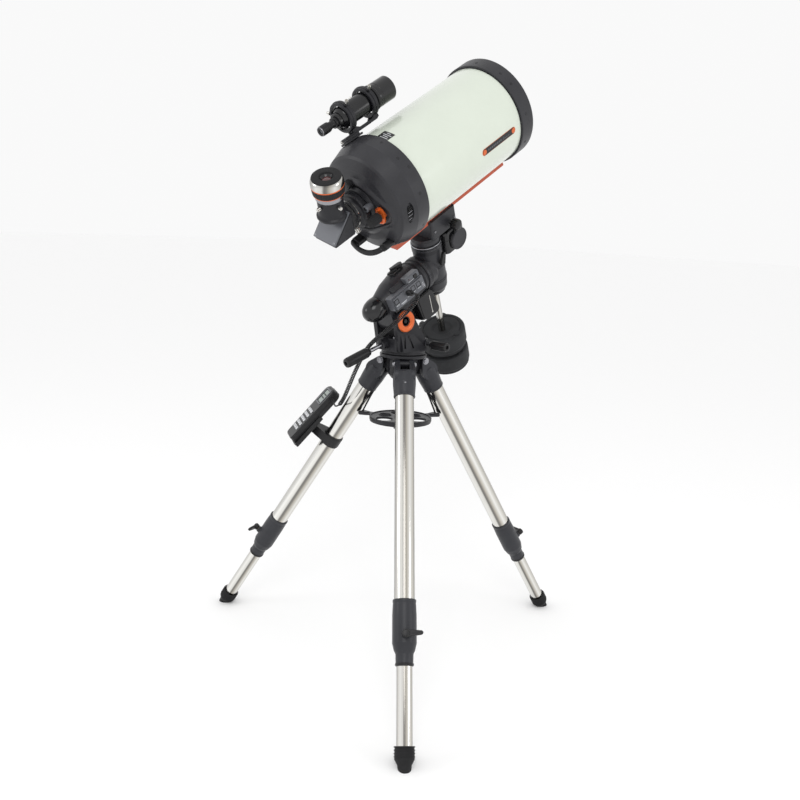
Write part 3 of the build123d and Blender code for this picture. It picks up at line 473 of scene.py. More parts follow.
def cap_screw(name, place, radius, look, body, depth=2.5):
    """A socket-head screw: a domed ring with a six-sided socket, its top at local z = depth; the socket is a
    near-black plug in the ring's hole, painted shade.
    """
    profile = [(radius * 0.52, 0.3), (radius * 0.96, 0.0), (radius, depth * 0.5),
        (radius * 0.9, depth * 0.9), (radius * 0.6, depth), (radius * 0.5, depth * 0.9)]
    lathe(name, place, profile, look, body, turns=24)
    # painted shade: a near-black six-sided plug fills the socket where there is only shade
    lathe(f"{name}_socket", place, solid([(radius * 0.53, 0.2), (radius * 0.53, 0.5)]), DARK, body, "steel",
        turns=6)


def thumb_screw(name, place, start, end, radius, body):
    """A thin shank with a knurled head."""
    head = end - radius * 2.2
    lathe(f"{name}_shank", place, solid([(radius * 0.42, start), (radius * 0.42, head)]), CHROME, body,
        turns=20)
    lathe(f"{name}_head", place, solid([(radius * 0.8, head), (radius, head + 0.8), (radius, end - 0.8),
        (radius * 0.8, end)]), CHROME, body, turns=72, wave=lambda angle, height: 1 + 0.04 * sin(angle * 24))


# ---- the curly cord of the handset ----
handset_down = Vector((-0.318, -0.575, -0.755)).normalized()
handset_face = Vector((-0.294, -0.697, 0.655))
handset_face = (handset_face - handset_down * handset_face.dot(handset_down)).normalized()
leg_bearings = {"north": 82, "southeast": -38, "southwest": 202}
hinge_reach, hinge_height, foot_reach = 58, 855, 605
spread = atan2(foot_reach - hinge_reach, hinge_height)


def leg_place(bearing):
    """x across the leg, y outwards and up, z down the leg, from its hinge."""
    outward = Vector((cos(radians(bearing)), sin(radians(bearing)), 0))
    across = Vector((-sin(radians(bearing)), cos(radians(bearing)), 0))
    down_leg = outward * sin(spread) - up * cos(spread)
    return placed(outward * hinge_reach + up * hinge_height, across, down_leg)


handset_centre = in_mm(leg_place(202), 20, 81, 270)
# x down the handset, y to its cord side
handset_place = placed(handset_centre, handset_down, handset_face)
panel_place = placed(crossing - polar_dir * 146 + polar_up * 5, polar_dir, east)
plug_place = shifted(panel_place, -5, 5, 0)
cord_route = [in_mm(plug_place, 0, 0, 78), in_mm(plug_place, 0, 0, 97), Vector((108, -58, 1034)),
    Vector((100, -76, 1010)), Vector((74, -94, 977)), Vector((38, -105, 943)), Vector((-1, -108, 917)),
    Vector((-34, -109, 886)), Vector((-57, -114, 843)), Vector((-74, -122, 799)), Vector((-88, -129, 757)),
    Vector((-103, -134, 727)), in_mm(handset_place, -62, 106, 2), in_mm(handset_place, -66, 74, 0),
    in_mm(handset_place, -66, 44, 0)]
coil_radius = 4.5
strand_radius = 1.75
lead_radius = 2.3
coil_pitch = 4.7


def route_line():
    """Evenly usable points along the route's smooth spline, in millimetres."""
    curve = smooth_curve("route", cord_route, 24)
    holder = bpy.data.objects.new("route", curve)
    bpy.context.scene.collection.objects.link(holder)
    mesh = bpy.data.meshes.new_from_object(holder)
    points = [vertex.co * 1000 for vertex in mesh.vertices]
    bpy.data.objects.remove(holder)
    bpy.data.curves.remove(curve)
    bpy.data.meshes.remove(mesh)
    return points


def walk(points):
    """Distances along a line of points."""
    reached = [0.0]
    for before, after in zip(points, points[1:]):
        reached.append(reached[-1] + (after - before).length)
    return reached


def swept(name, line, radii, look, body, slot, sides=10):
    """A round tube along many points, a radius at each, with a frame carried along without twist."""
    corners, faces = [], []
    aside = Vector((0, 0, 1))
    for k, point in enumerate(line):
        ahead = (line[min(k + 1, len(line) - 1)] - line[max(k - 1, 0)]).normalized()
        aside = (aside - ahead * aside.dot(ahead)).normalized()
        over = ahead.cross(aside)
        for step in range(sides):
            angle = 2 * pi * step / sides
            corners.append((point + (aside * cos(angle) + over * sin(angle)) * radii[k]) * MM)
    for k in range(len(line) - 1):
        for step in range(sides):
            following = (step + 1) % sides
            faces.append((k * sides + step, k * sides + following, (k + 1) * sides + following,
                (k + 1) * sides + step))
    faces.append(tuple(range(sides))[::-1])
    faces.append(tuple((len(line) - 1) * sides + step for step in range(sides)))
    mesh = bpy.data.meshes.new(name)
    mesh.from_pydata([tuple(corner) for corner in corners], [], faces)
    return finish_mesh(name, mesh, look, body, slot)


def add_cord():
    line = route_line()
    reached = walk(line)
    total = reached[-1]
    lead_in, lead_out = 16.0, 78.0
    steps_per_turn = 14
    spacing = coil_pitch / steps_per_turn
    count = int(total / spacing)
    coil, thickness = [], []
    aside = Vector((0, 0, 1))
    k = 0
    for step in range(count + 1):
        along = total * step / count
        while k < len(line) - 2 and reached[k + 1] < along:
            k += 1
        share = (along - reached[k]) / max(reached[k + 1] - reached[k], 1e-9)
        centre = line[k].lerp(line[k + 1], min(max(share, 0.0), 1.0))
        ahead = (line[k + 1] - line[k]).normalized()
        aside = (aside - ahead * aside.dot(ahead)).normalized()
        over = ahead.cross(aside)
        opening = min(1.0, max(0.0, (along - lead_in * 0.6) / lead_in),
            max(0.0, (total - lead_out - along) / 12))
        angle = 2 * pi * along / coil_pitch
        reach = coil_radius * opening * opening * (3 - 2 * opening)
        if opening or step % 12 == 0 or step == count:
            coil.append(centre + aside * reach * cos(angle) + over * reach * sin(angle))
            thickness.append(strand_radius + (lead_radius - strand_radius) * (1 - opening))
    cord = swept("handset_curly_cord", coil, thickness, CORD, "base", "cord_black", sides=8)
    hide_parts("handset_cord")


add_cord()


# ---- optical tube: rims, screws, labels, badge and vents ----
def add_tube_details():
    cells = (("rear", -110, -8, (-42, -6, 12, 37, 50, 78, 120, 150, 180, 215, 250, 285)),
        ("front", 307, 0, (-40, -5, 28, 44, 80, 115, 150, 190, 225, 270)))
    for end, station, second_row, angles in cells:
        for k, angle in enumerate(angles):
            place = on_tube(angle, station + (second_row if k % 2 else 0), 138)
            cap_screw(f"cell_screw_{end}_{k}", place, 2.6, DARK_SCREW, "telescope", depth=0.8)
            # painted shade: a near-black ring round each screw head, at the edge of its seat
            lathe(f"cell_screw_seat_shade_{end}_{k}", place, bored(2.7, [(3.6, 0.0), (3.6, 0.35)]), DARK,
                "telescope", "charcoal", turns=24)
    lathe("tube_seam_rear", tube_place, [(SKIN, -95), (132.5, -95), (132.5, -93.5), (SKIN, -93)],
        BLACK_CAST, "telescope", turns=160)
    lathe("tube_seam_front", tube_place, [(SKIN, 285), (132.5, 285.5), (132.5, 287), (SKIN, 287)],
        BLACK_CAST, "telescope", turns=160)

    def pill(share):
        """Half the width of the badge, a bar with round ends."""
        half_length, end_radius = 69, 9
        past_bar = abs((2 * share - 1) * half_length) - (half_length - end_radius)
        return end_radius if past_bar < 0 else sqrt(max(0.0, end_radius ** 2 - past_bar ** 2))

    def dot(share):
        return 6.8 * sqrt(max(0.0, 1 - (2 * share - 1) ** 2))

    for side, angle in (("east", 88.5), ("west", -88.5)):
        wrapped(f"badge_{side}_rim", angle, 124, 262, pill, SKIN, 0.55, ORANGE, "telescope", columns=56)
        wrapped(f"badge_{side}", angle, 125.5, 260.5, lambda share: pill(share) * 0.93, 132.1, 0.8, LABEL,
            "telescope", columns=56)
        wrapped(f"badge_{side}_rear_dot", angle, 126.5, 140, dot, 132.2, 1.0, ORANGE, "telescope")
        wrapped(f"badge_{side}_front_dot", angle, 246, 259.5, dot, 132.2, 1.0, ORANGE, "telescope")
        wrapped(f"badge_{side}_divider", angle, 209, 210.4, 5.0, 132.2, 0.9, DIM_MARK, "telescope", columns=2)
        for k in range(8):
            start = 147 + k * 7.2
            wrapped(f"badge_{side}_mark_{k}", angle, start, start + 4.4, 2.3, 132.2, 0.85, DIM_MARK,
                "telescope", columns=2, rows=2)
        for k in range(3):
            start = 214 + k * 8
            wrapped(f"badge_{side}_small_mark_{k}", angle + 0.9, start, start + 5, 1.1, 132.2, 0.85,
                DIM_MARK, "telescope", columns=2, rows=2)
    wrapped("data_plate", 5, -94, -62, 17, SKIN, 0.5, LABEL, "telescope")
    for k, reach in enumerate((12, 8, 13, 6)):
        station = -88 + 6.5 * k
        wrapped(f"data_plate_line_{k}", 6, station, station + 1.8, reach, 132.4, 0.35, MARK, "telescope",
            "cover_black", columns=2)

    for side, angle in (("east", 94.5), ("west", -94.5)):
        vent = on_tube(angle, -156, 126.5)
        oval = [(9.5 * cos(2 * pi * k / 48), 24.5 * sin(2 * pi * k / 48)) for k in range(48)]
        # painted shade: a near-black oval under the bars fills the vent's openings where there is only shade
        prism(f"vent_{side}_mesh", vent, oval, 2.1, 2.5, DARK, "telescope", "charcoal")
        for k in range(9):
            y = -19.2 + 4.8 * k
            reach = 9.2 * sqrt(1 - (y / 24.5) ** 2)
            # painted highlights: on the east vent, bars 2, 4 and 6 are bright steel and the rest black
            # plastic, standing for glints on that side
            prism(f"vent_{side}_bar_{k}", shifted(vent, 0, y, 2.2), rectangle(2 * reach, 1.7), 0, 3.2,
                STEEL if side == "east" and k in (2, 4, 6) else PLASTIC, "telescope", "charcoal", bevel=0.3)


add_tube_details()


# ---- back of the rear cell: sculpted lip, mirror locks, focuser, ports ----
def dome(radius):
    """The station of the rear cell's surface at a radius."""
    knots = ((0, -196), (60, -196), (96, -191), (120, -182), (126, -178), (138, -137))
    for (inner, low), (outer, high) in zip(knots, knots[1:]):
        if radius <= outer:
            return low + (high - low) * (radius - inner) / (outer - inner)
    return -137


def add_back_details():
    outline = hull([(0, 0, 66), (-78, -3, 27)], steps=64)
    section = ((-5, 0.6), (-3.4, -3.2), (-1.2, -5.4), (1.2, -5.4), (4.5, -3.0), (9, -1.2), (13, 0.6))
    count = len(outline)
    corners = []
    for k, (x, y) in enumerate(outline):
        before, after = outline[k - 1], outline[(k + 1) % count]
        along = Vector((after[0] - before[0], after[1] - before[1])).normalized()
        outwards = Vector((along.y, -along.x))
        for reach, rise in section:
            px, py = x + outwards.x * reach, y + outwards.y * reach
            corners.append(tube_place @ Vector((px, py, dome(hypot(px, py)) + rise)))
    finish_mesh("rear_lip", from_faces("rear_lip", corners, ring_faces(count, len(section), closed=True)),
        CHARCOAL, "telescope", smooth_angle=60)

    lathe("rear_port_ring", tube_place, [(45, -196), (58, -196.5), (57, -200), (52, -203), (48.2, -205),
        (48.2, -197)], BLACK_CAST, "telescope", bevel=0.5)
    for name, look, x, y, radius, length in (("grey", PANEL, -45, 17.5, 9, 24),
        ("dark", PLASTIC, 12, 64, 11, 18)):
        place = placed(in_mm(tube_place, x, y, -196), side_dir, -polar_dir)
        lathe(f"mirror_lock_{name}", place, solid([(radius * 0.7, -2), (radius * 0.7, 3), (radius, 4),
            (radius, length - 2), (radius - 2, length)]), look, "telescope", "black_plastic", turns=72,
            wave=grooved(12, 0.05), bevel=0.4)
        lathe(f"mirror_lock_{name}_cap", place, solid([(radius * 0.55, length),
            (radius * 0.5, length + 0.8)]), BLACK_CAST, "telescope", "black_plastic", turns=40)
    focus = placed(in_mm(tube_place, -74, -2, -198), side_dir, -polar_dir)
    for k, y in enumerate((-17, 17)):
        cap_screw(f"focuser_screw_{k}", shifted(focus, 0, y, 5.3), 2.4, CHROME, "telescope", depth=1.6)
    lathe("focus_knob_grip", focus, solid([(10.5, 9), (12.2, 10.5), (12.6, 14), (12.6, 38), (12.0, 41),
        (10, 42.4)]), RUBBER, "focus_knob", "black_plastic", turns=144, wave=grooved(16, 0.07, power=2),
        bevel=0.5)
    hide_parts("focus_knob")
    lathe("focus_knob_shaft", focus, solid([(5.9, -30), (5.9, 9.5)]), STEEL, "focus_knob", turns=40)


add_back_details()


# ---- carry handle ----
def add_handle():
    corners = []
    steps, reach = 48, 114
    section = rectangle(16, 9, 3.5, 4)
    first, last = radians(270 - 41 - 1), radians(270 + 21 + 1)
    for k in range(steps + 1):
        share = k / steps
        angle = first + (last - first) * share
        dip = -12 * sin(pi * share) ** 0.8
        for across, thick in section:
            radius = reach + across * 0.9
            corners.append(tube_place @ Vector((radius * cos(angle), radius * sin(angle),
                -214 + dip + thick)))
    size = len(section)
    faces = ring_faces(steps + 1, size)
    faces.append(tuple(range(size))[::-1])
    faces.append(tuple(steps * size + j for j in range(size)))
    grip = finish_mesh("carry_handle_grip", from_faces("carry_handle_grip", corners, faces), RUBBER,
        "telescope", "charcoal", bevel=1.0)
    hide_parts("carry_handle")
    for k, angle in enumerate((first + radians(5), last - radians(5))):
        foot = placed(in_mm(tube_place, reach * cos(angle), reach * sin(angle), -182),
            side_dir * cos(angle) + dec_dir * sin(angle), -polar_dir)
        prism(f"carry_handle_foot_{k}", foot, rectangle(20, 24, 6), -4, 30, PLASTIC, "telescope",
            "charcoal", bevel=2.5, steps=3)
        cap_screw(f"carry_handle_screw_{k}", shifted(foot, 0, 0, 36.5), 4.2, STEEL, "telescope", depth=3)


add_handle()


# ---- visual back, star diagonal and eyepiece ----
def add_eyepiece_end():
    ring = lathe("visual_back_ring", tube_place, [(25.5, -205.4), (45, -205.4), (46.5, -207.5),
        (46.5, -219), (44, -222), (38, -223.5), (35.5, -226), (34, -231), (34, -239), (25.5, -239.8)],
        BLACK_CAST, "telescope", turns=180, bevel=0.4, wave=grooved(30, 0.02, -220, -207))
    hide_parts("visual_back")
    lathe("visual_back_bright_edge", tube_place, [(34.05, -231), (35.2, -231.4), (35.2, -232.6),
        (34.05, -233)], CHROME, "telescope")
    screw = placed(in_mm(tube_place, 0, 0, -236), polar_dir, -side_dir * 0.5 - dec_dir)
    thumb_screw("visual_back_screw", screw, 31, 50, 5.5, "telescope")

    bend = in_mm(tube_place, 0, 0, -287)                  # where the diagonal turns the light
    # x forward, z towards the eye
    port = placed(bend, polar_dir, eyepiece_dir)
    # x forward, y away from the eye
    prism_place = placed(bend, polar_dir, eyepiece_dir.cross(polar_dir))
    body = prism("diagonal_body", prism_place, [(34, -34), (34, 33), (-33, 33), (-37, 29), (-37, 24),
        (24, -36)], -33, 33, BLACK_CAST, "diagonal", bevel=1.6, steps=3)
    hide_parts("diagonal")
    slope = placed(in_mm(prism_place, -8, -8, 0), axis(prism_place, 2), -(polar_dir + axis(prism_place, 1)))
    prism("diagonal_mirror_plate", slope, rectangle(72, 88, 2), -1.5, 3.4, PANEL, "diagonal", "charcoal",
        bevel=0.8)
    for k, (x, y) in enumerate(((-31, -38), (31, -38), (-31, 38), (31, 38))):
        cap_screw(f"diagonal_plate_screw_{k}", shifted(slope, x, y, 3), 2.2, STEEL, "diagonal", depth=1.0)
    for k, z in enumerate((-33, 33)):
        side = placed(in_mm(prism_place, 0, 0, z), polar_dir, axis(prism_place, 2) * (1 if z > 0 else -1))
        outline = [(30, -30), (30, 29), (-29, 29), (-31, 24), (24, -31)]
        if z < 0:
            outline = [(x, -y) for x, y in outline]
        prism(f"diagonal_side_plate_{k}", side, outline, -0.6, 1.0, BLACK_CAST, "diagonal", bevel=0.5)
    barrel = placed(bend, side_dir, polar_dir)
    lathe("diagonal_nose", barrel, bored(21, [(31, 28), (32.5, 30), (32.5, 37), (30, 39.5), (25.3, 40),
        (25.3, 80), (24, 82)]), CHROME, "diagonal", bevel=0.4)
    lathe("diagonal_nose_ring", barrel, [(30, 29), (35.5, 30), (36.5, 32), (36.5, 44), (35, 46),
        (30.5, 46.5)], PLASTIC, "diagonal", "charcoal", turns=180, wave=knurled(45, 0.008), bevel=0.3)
    lathe("diagonal_port", port, [(25.5, 31), (37, 31), (38, 33), (38, 37), (33.5, 40), (31.5, 44),
        (31.5, 79), (30.5, 81), (25.5, 81.2)], BLACK_CAST, "diagonal", bevel=0.4)
    for k, turn in enumerate((-100, 100, 180)):
        way = axis(port, 0) * cos(radians(turn)) + axis(port, 1) * sin(radians(turn))
        thumb_screw(f"diagonal_screw_{k}", placed(in_mm(port, 0, 0, 71), eyepiece_dir, way), 30, 44, 4.6,
            "diagonal")

    seat = shifted(port, 0, 0, 20)

    def turned(part, profile, look, slot="cover_black", turns=128, **more):
        return lathe(f"eyepiece_{part}", seat, profile, look, "eyepiece", slot, turns, **more)

    eye = turned("barrel", bored(22, [(25.3, 14), (25.3, 61.6), (31.8, 61.6), (33.8, 64), (33.8, 76),
        (30, 76.5), (30, 110)]), STEEL, "steel", bevel=0.3)
    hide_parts("eyepiece")
    turned("red_ring_low", bored(30, [(36.6, 76), (37.6, 77), (37.6, 78), (36.6, 79)]), ORANGE, "orange")
    turned("grip", bored(30, [(37.6, 78.6), (38.6, 80), (39.2, 87), (39.4, 95), (39.0, 96.5)]), RUBBER,
        turns=240, wave=grooved(20, 0.022, 79, 96, power=4))
    turned("red_ring_high", bored(30, [(39.4, 96), (40.0, 97), (40.0, 98), (39.4, 99)]), ORANGE, "orange")
    turned("chrome_band", bored(30, [(39.4, 98.5), (40.0, 99.5), (40.0, 106), (39.2, 111), (37.2, 116),
        (35, 118.2)]), CHROME, "steel", bevel=0.3)
    turned("cup", [(13.5, 112), (16, 117), (17, 119.4), (19, 120.6), (33, 121.0), (35.4, 120.2),
        (36.2, 118), (35, 116), (28, 112)], RUBBER, bevel=0.3)
    turned("lens_seat", [(9, 108), (16, 113), (15.4, 116), (13.6, 114), (9, 110.5)], GLOSS, turns=96)
    lens = [(max(14.5 * k / 8, AXIS), 110 + 4.2 * (1 - (k / 8) ** 2)) for k in range(9)]
    turned("lens", lens + [(14.5, 108), (AXIS, 108)], RED_LENS, turns=96)


add_eyepiece_end()


# ---- finder ----
def add_finder():
    turn = radians(-31)
    outward = dec_dir * cos(turn) - side_dir * sin(turn)
    finder_centre = tube_centre + outward * 196
    place = placed(finder_centre, outward, polar_dir)

    def turned(part, profile, look, slot="cover_black", turns=96, **more):
        return lathe(f"finder_{part}", place, profile, look, "telescope", slot, turns, **more)

    body = turned("tube", solid([(17, -127), (19, -125), (19.6, -120), (19.6, -116), (25, -110), (27, -106),
        (27, -4), (29, 3), (30.6, 6), (31, 9), (31, 15), (30.2, 16), (30.2, 18), (31, 19), (31, 61),
        (30.2, 62), (29, 62), (28.4, 60), (28.2, 30)]), GLOSS, turns=128, bevel=0.3)
    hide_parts("finder_scope")
    for k in range(3):
        station = -9 + k * 1.9
        turned(f"focus_rib_{k}", [(27, station), (28.2, station + 0.3), (28.2, station + 1.3),
            (27, station + 1.6)], PLASTIC)
    turned("lock_ring", [(27, -3), (31.2, -2), (32, 0), (32, 4), (31.2, 6), (28, 6.4)], PLASTIC, turns=192,
        wave=knurled(48, 0.008))
    glass = [(max(27 * k / 8, AXIS), 31 + 3.2 * (1 - (k / 8) ** 2)) for k in range(9)]
    turned("objective", glass + [(27, 30.2), (AXIS, 30.2)], BLUE_LENS, "glass")
    turned("eyepiece", [(5, -178), (10.4, -179), (12, -178), (12.6, -175), (12.6, -156), (12, -152),
        (9.8, -150), (9.4, -144), (9.4, -138), (10.5, -136), (13.4, -135), (13.4, -127), (5, -127)],
        PLASTIC, turns=120, wave=grooved(20, 0.05, -176, -155))
    turned("eyepiece_lens", [(AXIS, -177.2), (4, -176.8), (6.4, -175.8), (6.4, -173), (AXIS, -173)],
        BLUE_LENS, "glass", turns=48)
    turned("reticle_ring", bored(10.4, [(11.4, -179.3), (11.8, -178.2)]), STEEL, "steel", turns=64)

    def loop(name, station):
        width = 9
        ring = turned(name, bored(31.2, [(37, station - width), (38.6, station - width + 1.5),
            (38.6, station + width - 1.5), (37, station + width)]), BLACK_CAST, "charcoal", turns=128,
            bevel=0.6)
        turned(f"{name}_lip", [(38.2, station - 2.6), (40, station - 1.8), (40, station + 1.8),
            (38.2, station + 2.6)], BLACK_CAST, "charcoal", turns=128)
        return ring

    rear = loop("ring_rear", -100)
    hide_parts("finder_bracket")
    loop("ring_front", -20)
    for end, station in (("rear", -100), ("front", -20)):
        for k, angle in enumerate((60, 180, 300)):
            way = Matrix.Rotation(radians(angle), 3, polar_dir) @ outward
            screw = placed(finder_centre + polar_dir * station, polar_dir, way)
            if angle != 180:
                thumb_screw(f"finder_screw_{end}_{k}", screw, 27.2, 56, 4.2, "telescope")
            lathe(f"finder_screw_nut_{end}_{k}", screw, bored(2, [(5, 39), (5, 42)]), DARK_SCREW,
                "telescope", turns=6)
    # x forward, y towards the optical tube
    rail = placed(finder_centre, polar_dir, outward.cross(polar_dir))
    outline = [(-103, 44), (-103, 37), (-90, 35), (-80, 41), (-36, 41), (-28, 35), (-15, 37), (-15, 44),
        (-24, 48), (-95, 48)]
    for k, x in enumerate((-11, 11)):
        prism(f"finder_rail_{k}", rail, outline, x - 3, x + 3, BLACK_CAST, "telescope", bevel=0.8)
    foot = placed(tube_centre - polar_dir * 112 + outward * 138, polar_dir, outward)
    prism("finder_foot_plate", foot, rectangle(56, 34, 4), 0.2, 5, BLACK_CAST, "telescope", bevel=0.8)
    prism("finder_foot_post", foot, rectangle(40, 26, 5), 4.5, 14, CHARCOAL, "telescope", bevel=1.2)
    prism("finder_foot_bridge", shifted(foot, 22, 0, 0), rectangle(88, 28, 3), 9.5, 14.5, BLACK_CAST,
        "telescope", bevel=1.0)
    prism("finder_dovetail_clamp", foot, [(-20, -14), (20, -14), (14, -9), (-14, -9)], 5, 12, BLACK_CAST,
        "telescope", bevel=0.5)
    for k, along_foot in enumerate((-12, 10)):
        screw = placed(in_mm(foot, along_foot, 0, 9), polar_dir, outward.cross(polar_dir))
        thumb_screw(f"finder_foot_screw_{k}", screw, 12, 28, 4.6, "telescope")


add_finder()


# ---- equatorial head ----
def setting_circle(name, place, radius, low, high, body, ticks):
    """A scale ring: short marks round a collar, every fifth one longer."""
    corners, faces = [], []
    for k in range(ticks):
        angle = 2 * pi * k / ticks
        reach = (high - low) * (1.0 if k % 5 == 0 else 0.55)
        for turn, height in ((-0.25, low), (0.25, low), (0.25, low + reach), (-0.25, low + reach)):
            for out in (radius, radius + 0.18):
                a = angle + turn / radius
                corners.append(place @ Vector((out * cos(a), out * sin(a), height)))
        first = 8 * k
        faces += [(first + 1, first + 3, first + 5, first + 7), (first, first + 2, first + 4, first + 6),
            (first, first + 2, first + 3, first + 1), (first + 4, first + 6, first + 7, first + 5),
            (first + 2, first + 4, first + 5, first + 3), (first + 6, first, first + 1, first + 7)]
    return finish_mesh(name, from_faces(name, corners, faces), DIM_MARK, body, "panel_grey")


def add_head_details():
    lathe("dec_chrome_ring", dec_place, [(41.05, 76.6), (42.2, 77), (42.6, 78.2), (42.2, 79.4),
        (41.05, 79.8)], STEEL, "turning_head", turns=128)
    lathe("dec_collar", dec_place, [(41.05, 55), (42, 55.5), (42, 74.5), (41.05, 75)], BLACK_CAST,
        "turning_head", turns=128)
    setting_circle("dec_scale", dec_place, 42, 67, 74, "turning_head", 120)
    for k, height in enumerate((-44, -38, 2, 8)):
        lathe(f"dec_rib_{k}", dec_place, [(41.05, height), (41.9, height + 0.4), (41.9, height + 1.6),
            (41.05, height + 2)], BLACK_CAST, "turning_head")
    lathe("dec_lower_cap", dec_place, [(15.2, -91), (21, -92.5), (30, -86.8), (38, -71.5), (39.4, -66),
        (37, -68), (28, -84), (15.2, -89)], GLOSS, "turning_head", bevel=0.3)
    lathe("polar_collar", polar_place, [(46.05, -58), (48.8, -57), (49.4, -55), (49.4, -40), (48, -38),
        (46.05, -37.5)], BLACK_CAST, "turning_head", turns=128, bevel=0.4)
    setting_circle("polar_scale", polar_place, 49.4, -54, -47, "turning_head", 144)
    for k, station in enumerate((-74, -78)):
        lathe(f"polar_rib_{k}", polar_place, [(49.05, station), (50.3, station + 0.6),
            (50.3, station + 2.2), (49.05, station + 2.8)], BLACK_CAST, "polar_unit", turns=128)
    cap = [(29.2, -213.5), (31.4, -216), (32.0, -222), (31.6, -232), (28.8, -244), (22.4, -256),
        (14, -263.5), (6, -266), (AXIS, -266.6), (AXIS, -263.4), (9, -261.5), (20, -254), (27, -242),
        (29, -228), (28.4, -216)]
    lathe("polar_end_cap", polar_place, cap, GLOSS, "polar_unit", turns=128)
    lathe("polar_cap_seam", polar_place, bored(28.2, [(30.8, -209.5), (30.8, -212), (29.8, -213.6)]),
        BLACK_CAST, "polar_unit")
    for k, angle in enumerate((30, 150, 270)):
        way = polar_up * sin(radians(angle)) - east * cos(radians(angle))
        screw = placed(crossing - polar_dir * 203 + way * 31.6, polar_dir, way)
        cap_screw(f"polar_cap_screw_{k}", screw, 3.6, CHROME, "polar_unit", depth=2.2)
    blade = placed(crossing - polar_dir * 122 + polar_up * 50.6, polar_dir, polar_up)
    prism("polar_top_saddle", blade, rectangle(34, 26, 5), -2, 5, GLOSS, "polar_unit", bevel=1.5, steps=3)
    prism("polar_top_blade", shifted(blade, -8, 0, 4), hull([(-14, 0, 3), (12, 0, 7)]), 0, 5, PLASTIC,
        "polar_unit", "cover_black", bevel=1.2)
    flank = placed(crossing - polar_dir * 152 + polar_up * 26 + east * 30, polar_dir,
        (polar_up * 0.62 + east * 0.78))
    prism("polar_flank_pad", flank, rectangle(62, 16, 5), -4, 10, CHARCOAL, "polar_unit", bevel=2.5, steps=3)


add_head_details()


def add_panel():
    """Sockets, screws and printed marks of the electronics box."""
    face = shifted(panel_place, 0, 0, 60)

    def plate(part, place, outline, low, high, look, slot="panel_grey", **more):
        prism(f"panel_{part}", place, outline, low, high, look, "polar_unit", slot, **more)

    trim = [(-58, -16), (58, -16), (58, 10), (50, 16.5), (-58, 16.5)]
    plate("face_plate", face, trim, 0.05, 0.9, PANEL, bevel=0.3)
    for k, x in enumerate((-50, 16, 37)):
        opening = rectangle(12, 10, 1)
        # painted shade: a near-black block fills each socket opening where there is only shade
        plate(f"socket_{k}", shifted(face, x, 5, 0), opening, -6, 0.2, DARK)
        for j, (px, py, w, h) in enumerate(((0, 6.2, 15, 1.6), (0, -6.2, 15, 1.6), (-7, 0, 1.6, 12),
            (7, 0, 1.6, 12))):
            plate(f"socket_{k}_edge_{j}", shifted(face, x + px, 5 + py, 0), rectangle(w, h), 0.8, 1.7,
                GLOSS, "cover_black", bevel=0.25)
        for j in range(4):
            plate(f"socket_{k}_pin_{j}", shifted(face, x - 3 + 2 * j, 3.4, 0), rectangle(0.9, 2.6), -5.8,
                -1.5, BRASS, "steel")
    lathe("panel_power_jack", shifted(face, 52, -7, 0), [(1.4, -2), (3.4, -2), (4.4, 0.4), (4.4, 1.9),
        (3, 2.2), (1.4, 0.4)], STEEL, "polar_unit", turns=48)
    for k, (x, y) in enumerate(((-55, -13), (-55, 13.5), (55, -13), (46, 13.5))):
        cap_screw(f"panel_screw_{k}", shifted(face, x, y, 0.9), 1.7, STEEL, "polar_unit", depth=0.8)
    for k, (x, y, w, h) in enumerate(((-50, -5, 12, 1.1), (-50, -7.2, 8, 0.8), (-5, -5.2, 13, 1.1),
        (16, -5.2, 10, 1.1), (37, -5.2, 12, 1.1), (-28, -9, 22, 1.8), (-28, -12, 16, 0.9), (52, 0, 6, 0.8))):
        plate(f"mark_{k}", shifted(face, x, y, 0), rectangle(w, h), 0.9, 1.05, MARK)
    top = shifted(panel_place, 34, 27, 52)
    plate("small_plate", top, rectangle(46, 17, 2), 0.05, 1.0, PANEL, bevel=0.3)
    plate("rocker", shifted(top, 9, 0, 0), rectangle(13, 9, 1.5), 0.8, 3.4, GLOSS, "cover_black", bevel=0.8)
    lathe("panel_lamp", shifted(top, -15, 2, 0), [(AXIS, 0.8), (1.8, 0.8), (1.7, 2.0), (AXIS, 2.6)],
        RED_LENS, "polar_unit", turns=32)
    plate("small_mark", shifted(top, -8, -5, 0), rectangle(22, 1.2), 1.0, 1.12, MARK)
    edge = [(-62.5, -20.5), (62.5, -20.5), (62.5, -16.5), (-62.5, -16.5)]
    plate("lower_bead", shifted(panel_place, 0, 0, 56), edge, 0, 4.4, GLOSS, "cover_black", bevel=1.2,
        steps=3)
    gland = shifted(plug_place, 0, 0, 60)
    prism("plug_housing", gland, rectangle(14.5, 12.5, 2), 1, 9, PLASTIC, "polar_unit", "cord_black",
        bevel=0.8)
    for k in range(5):
        lathe(f"plug_relief_{k}", gland, bored(2, [(6.4 - 0.7 * k, 9 + 1.8 * k),
            (6.2 - 0.7 * k, 10.2 + 1.8 * k)]), RUBBER, "polar_unit", "cord_black", turns=40)


add_panel()


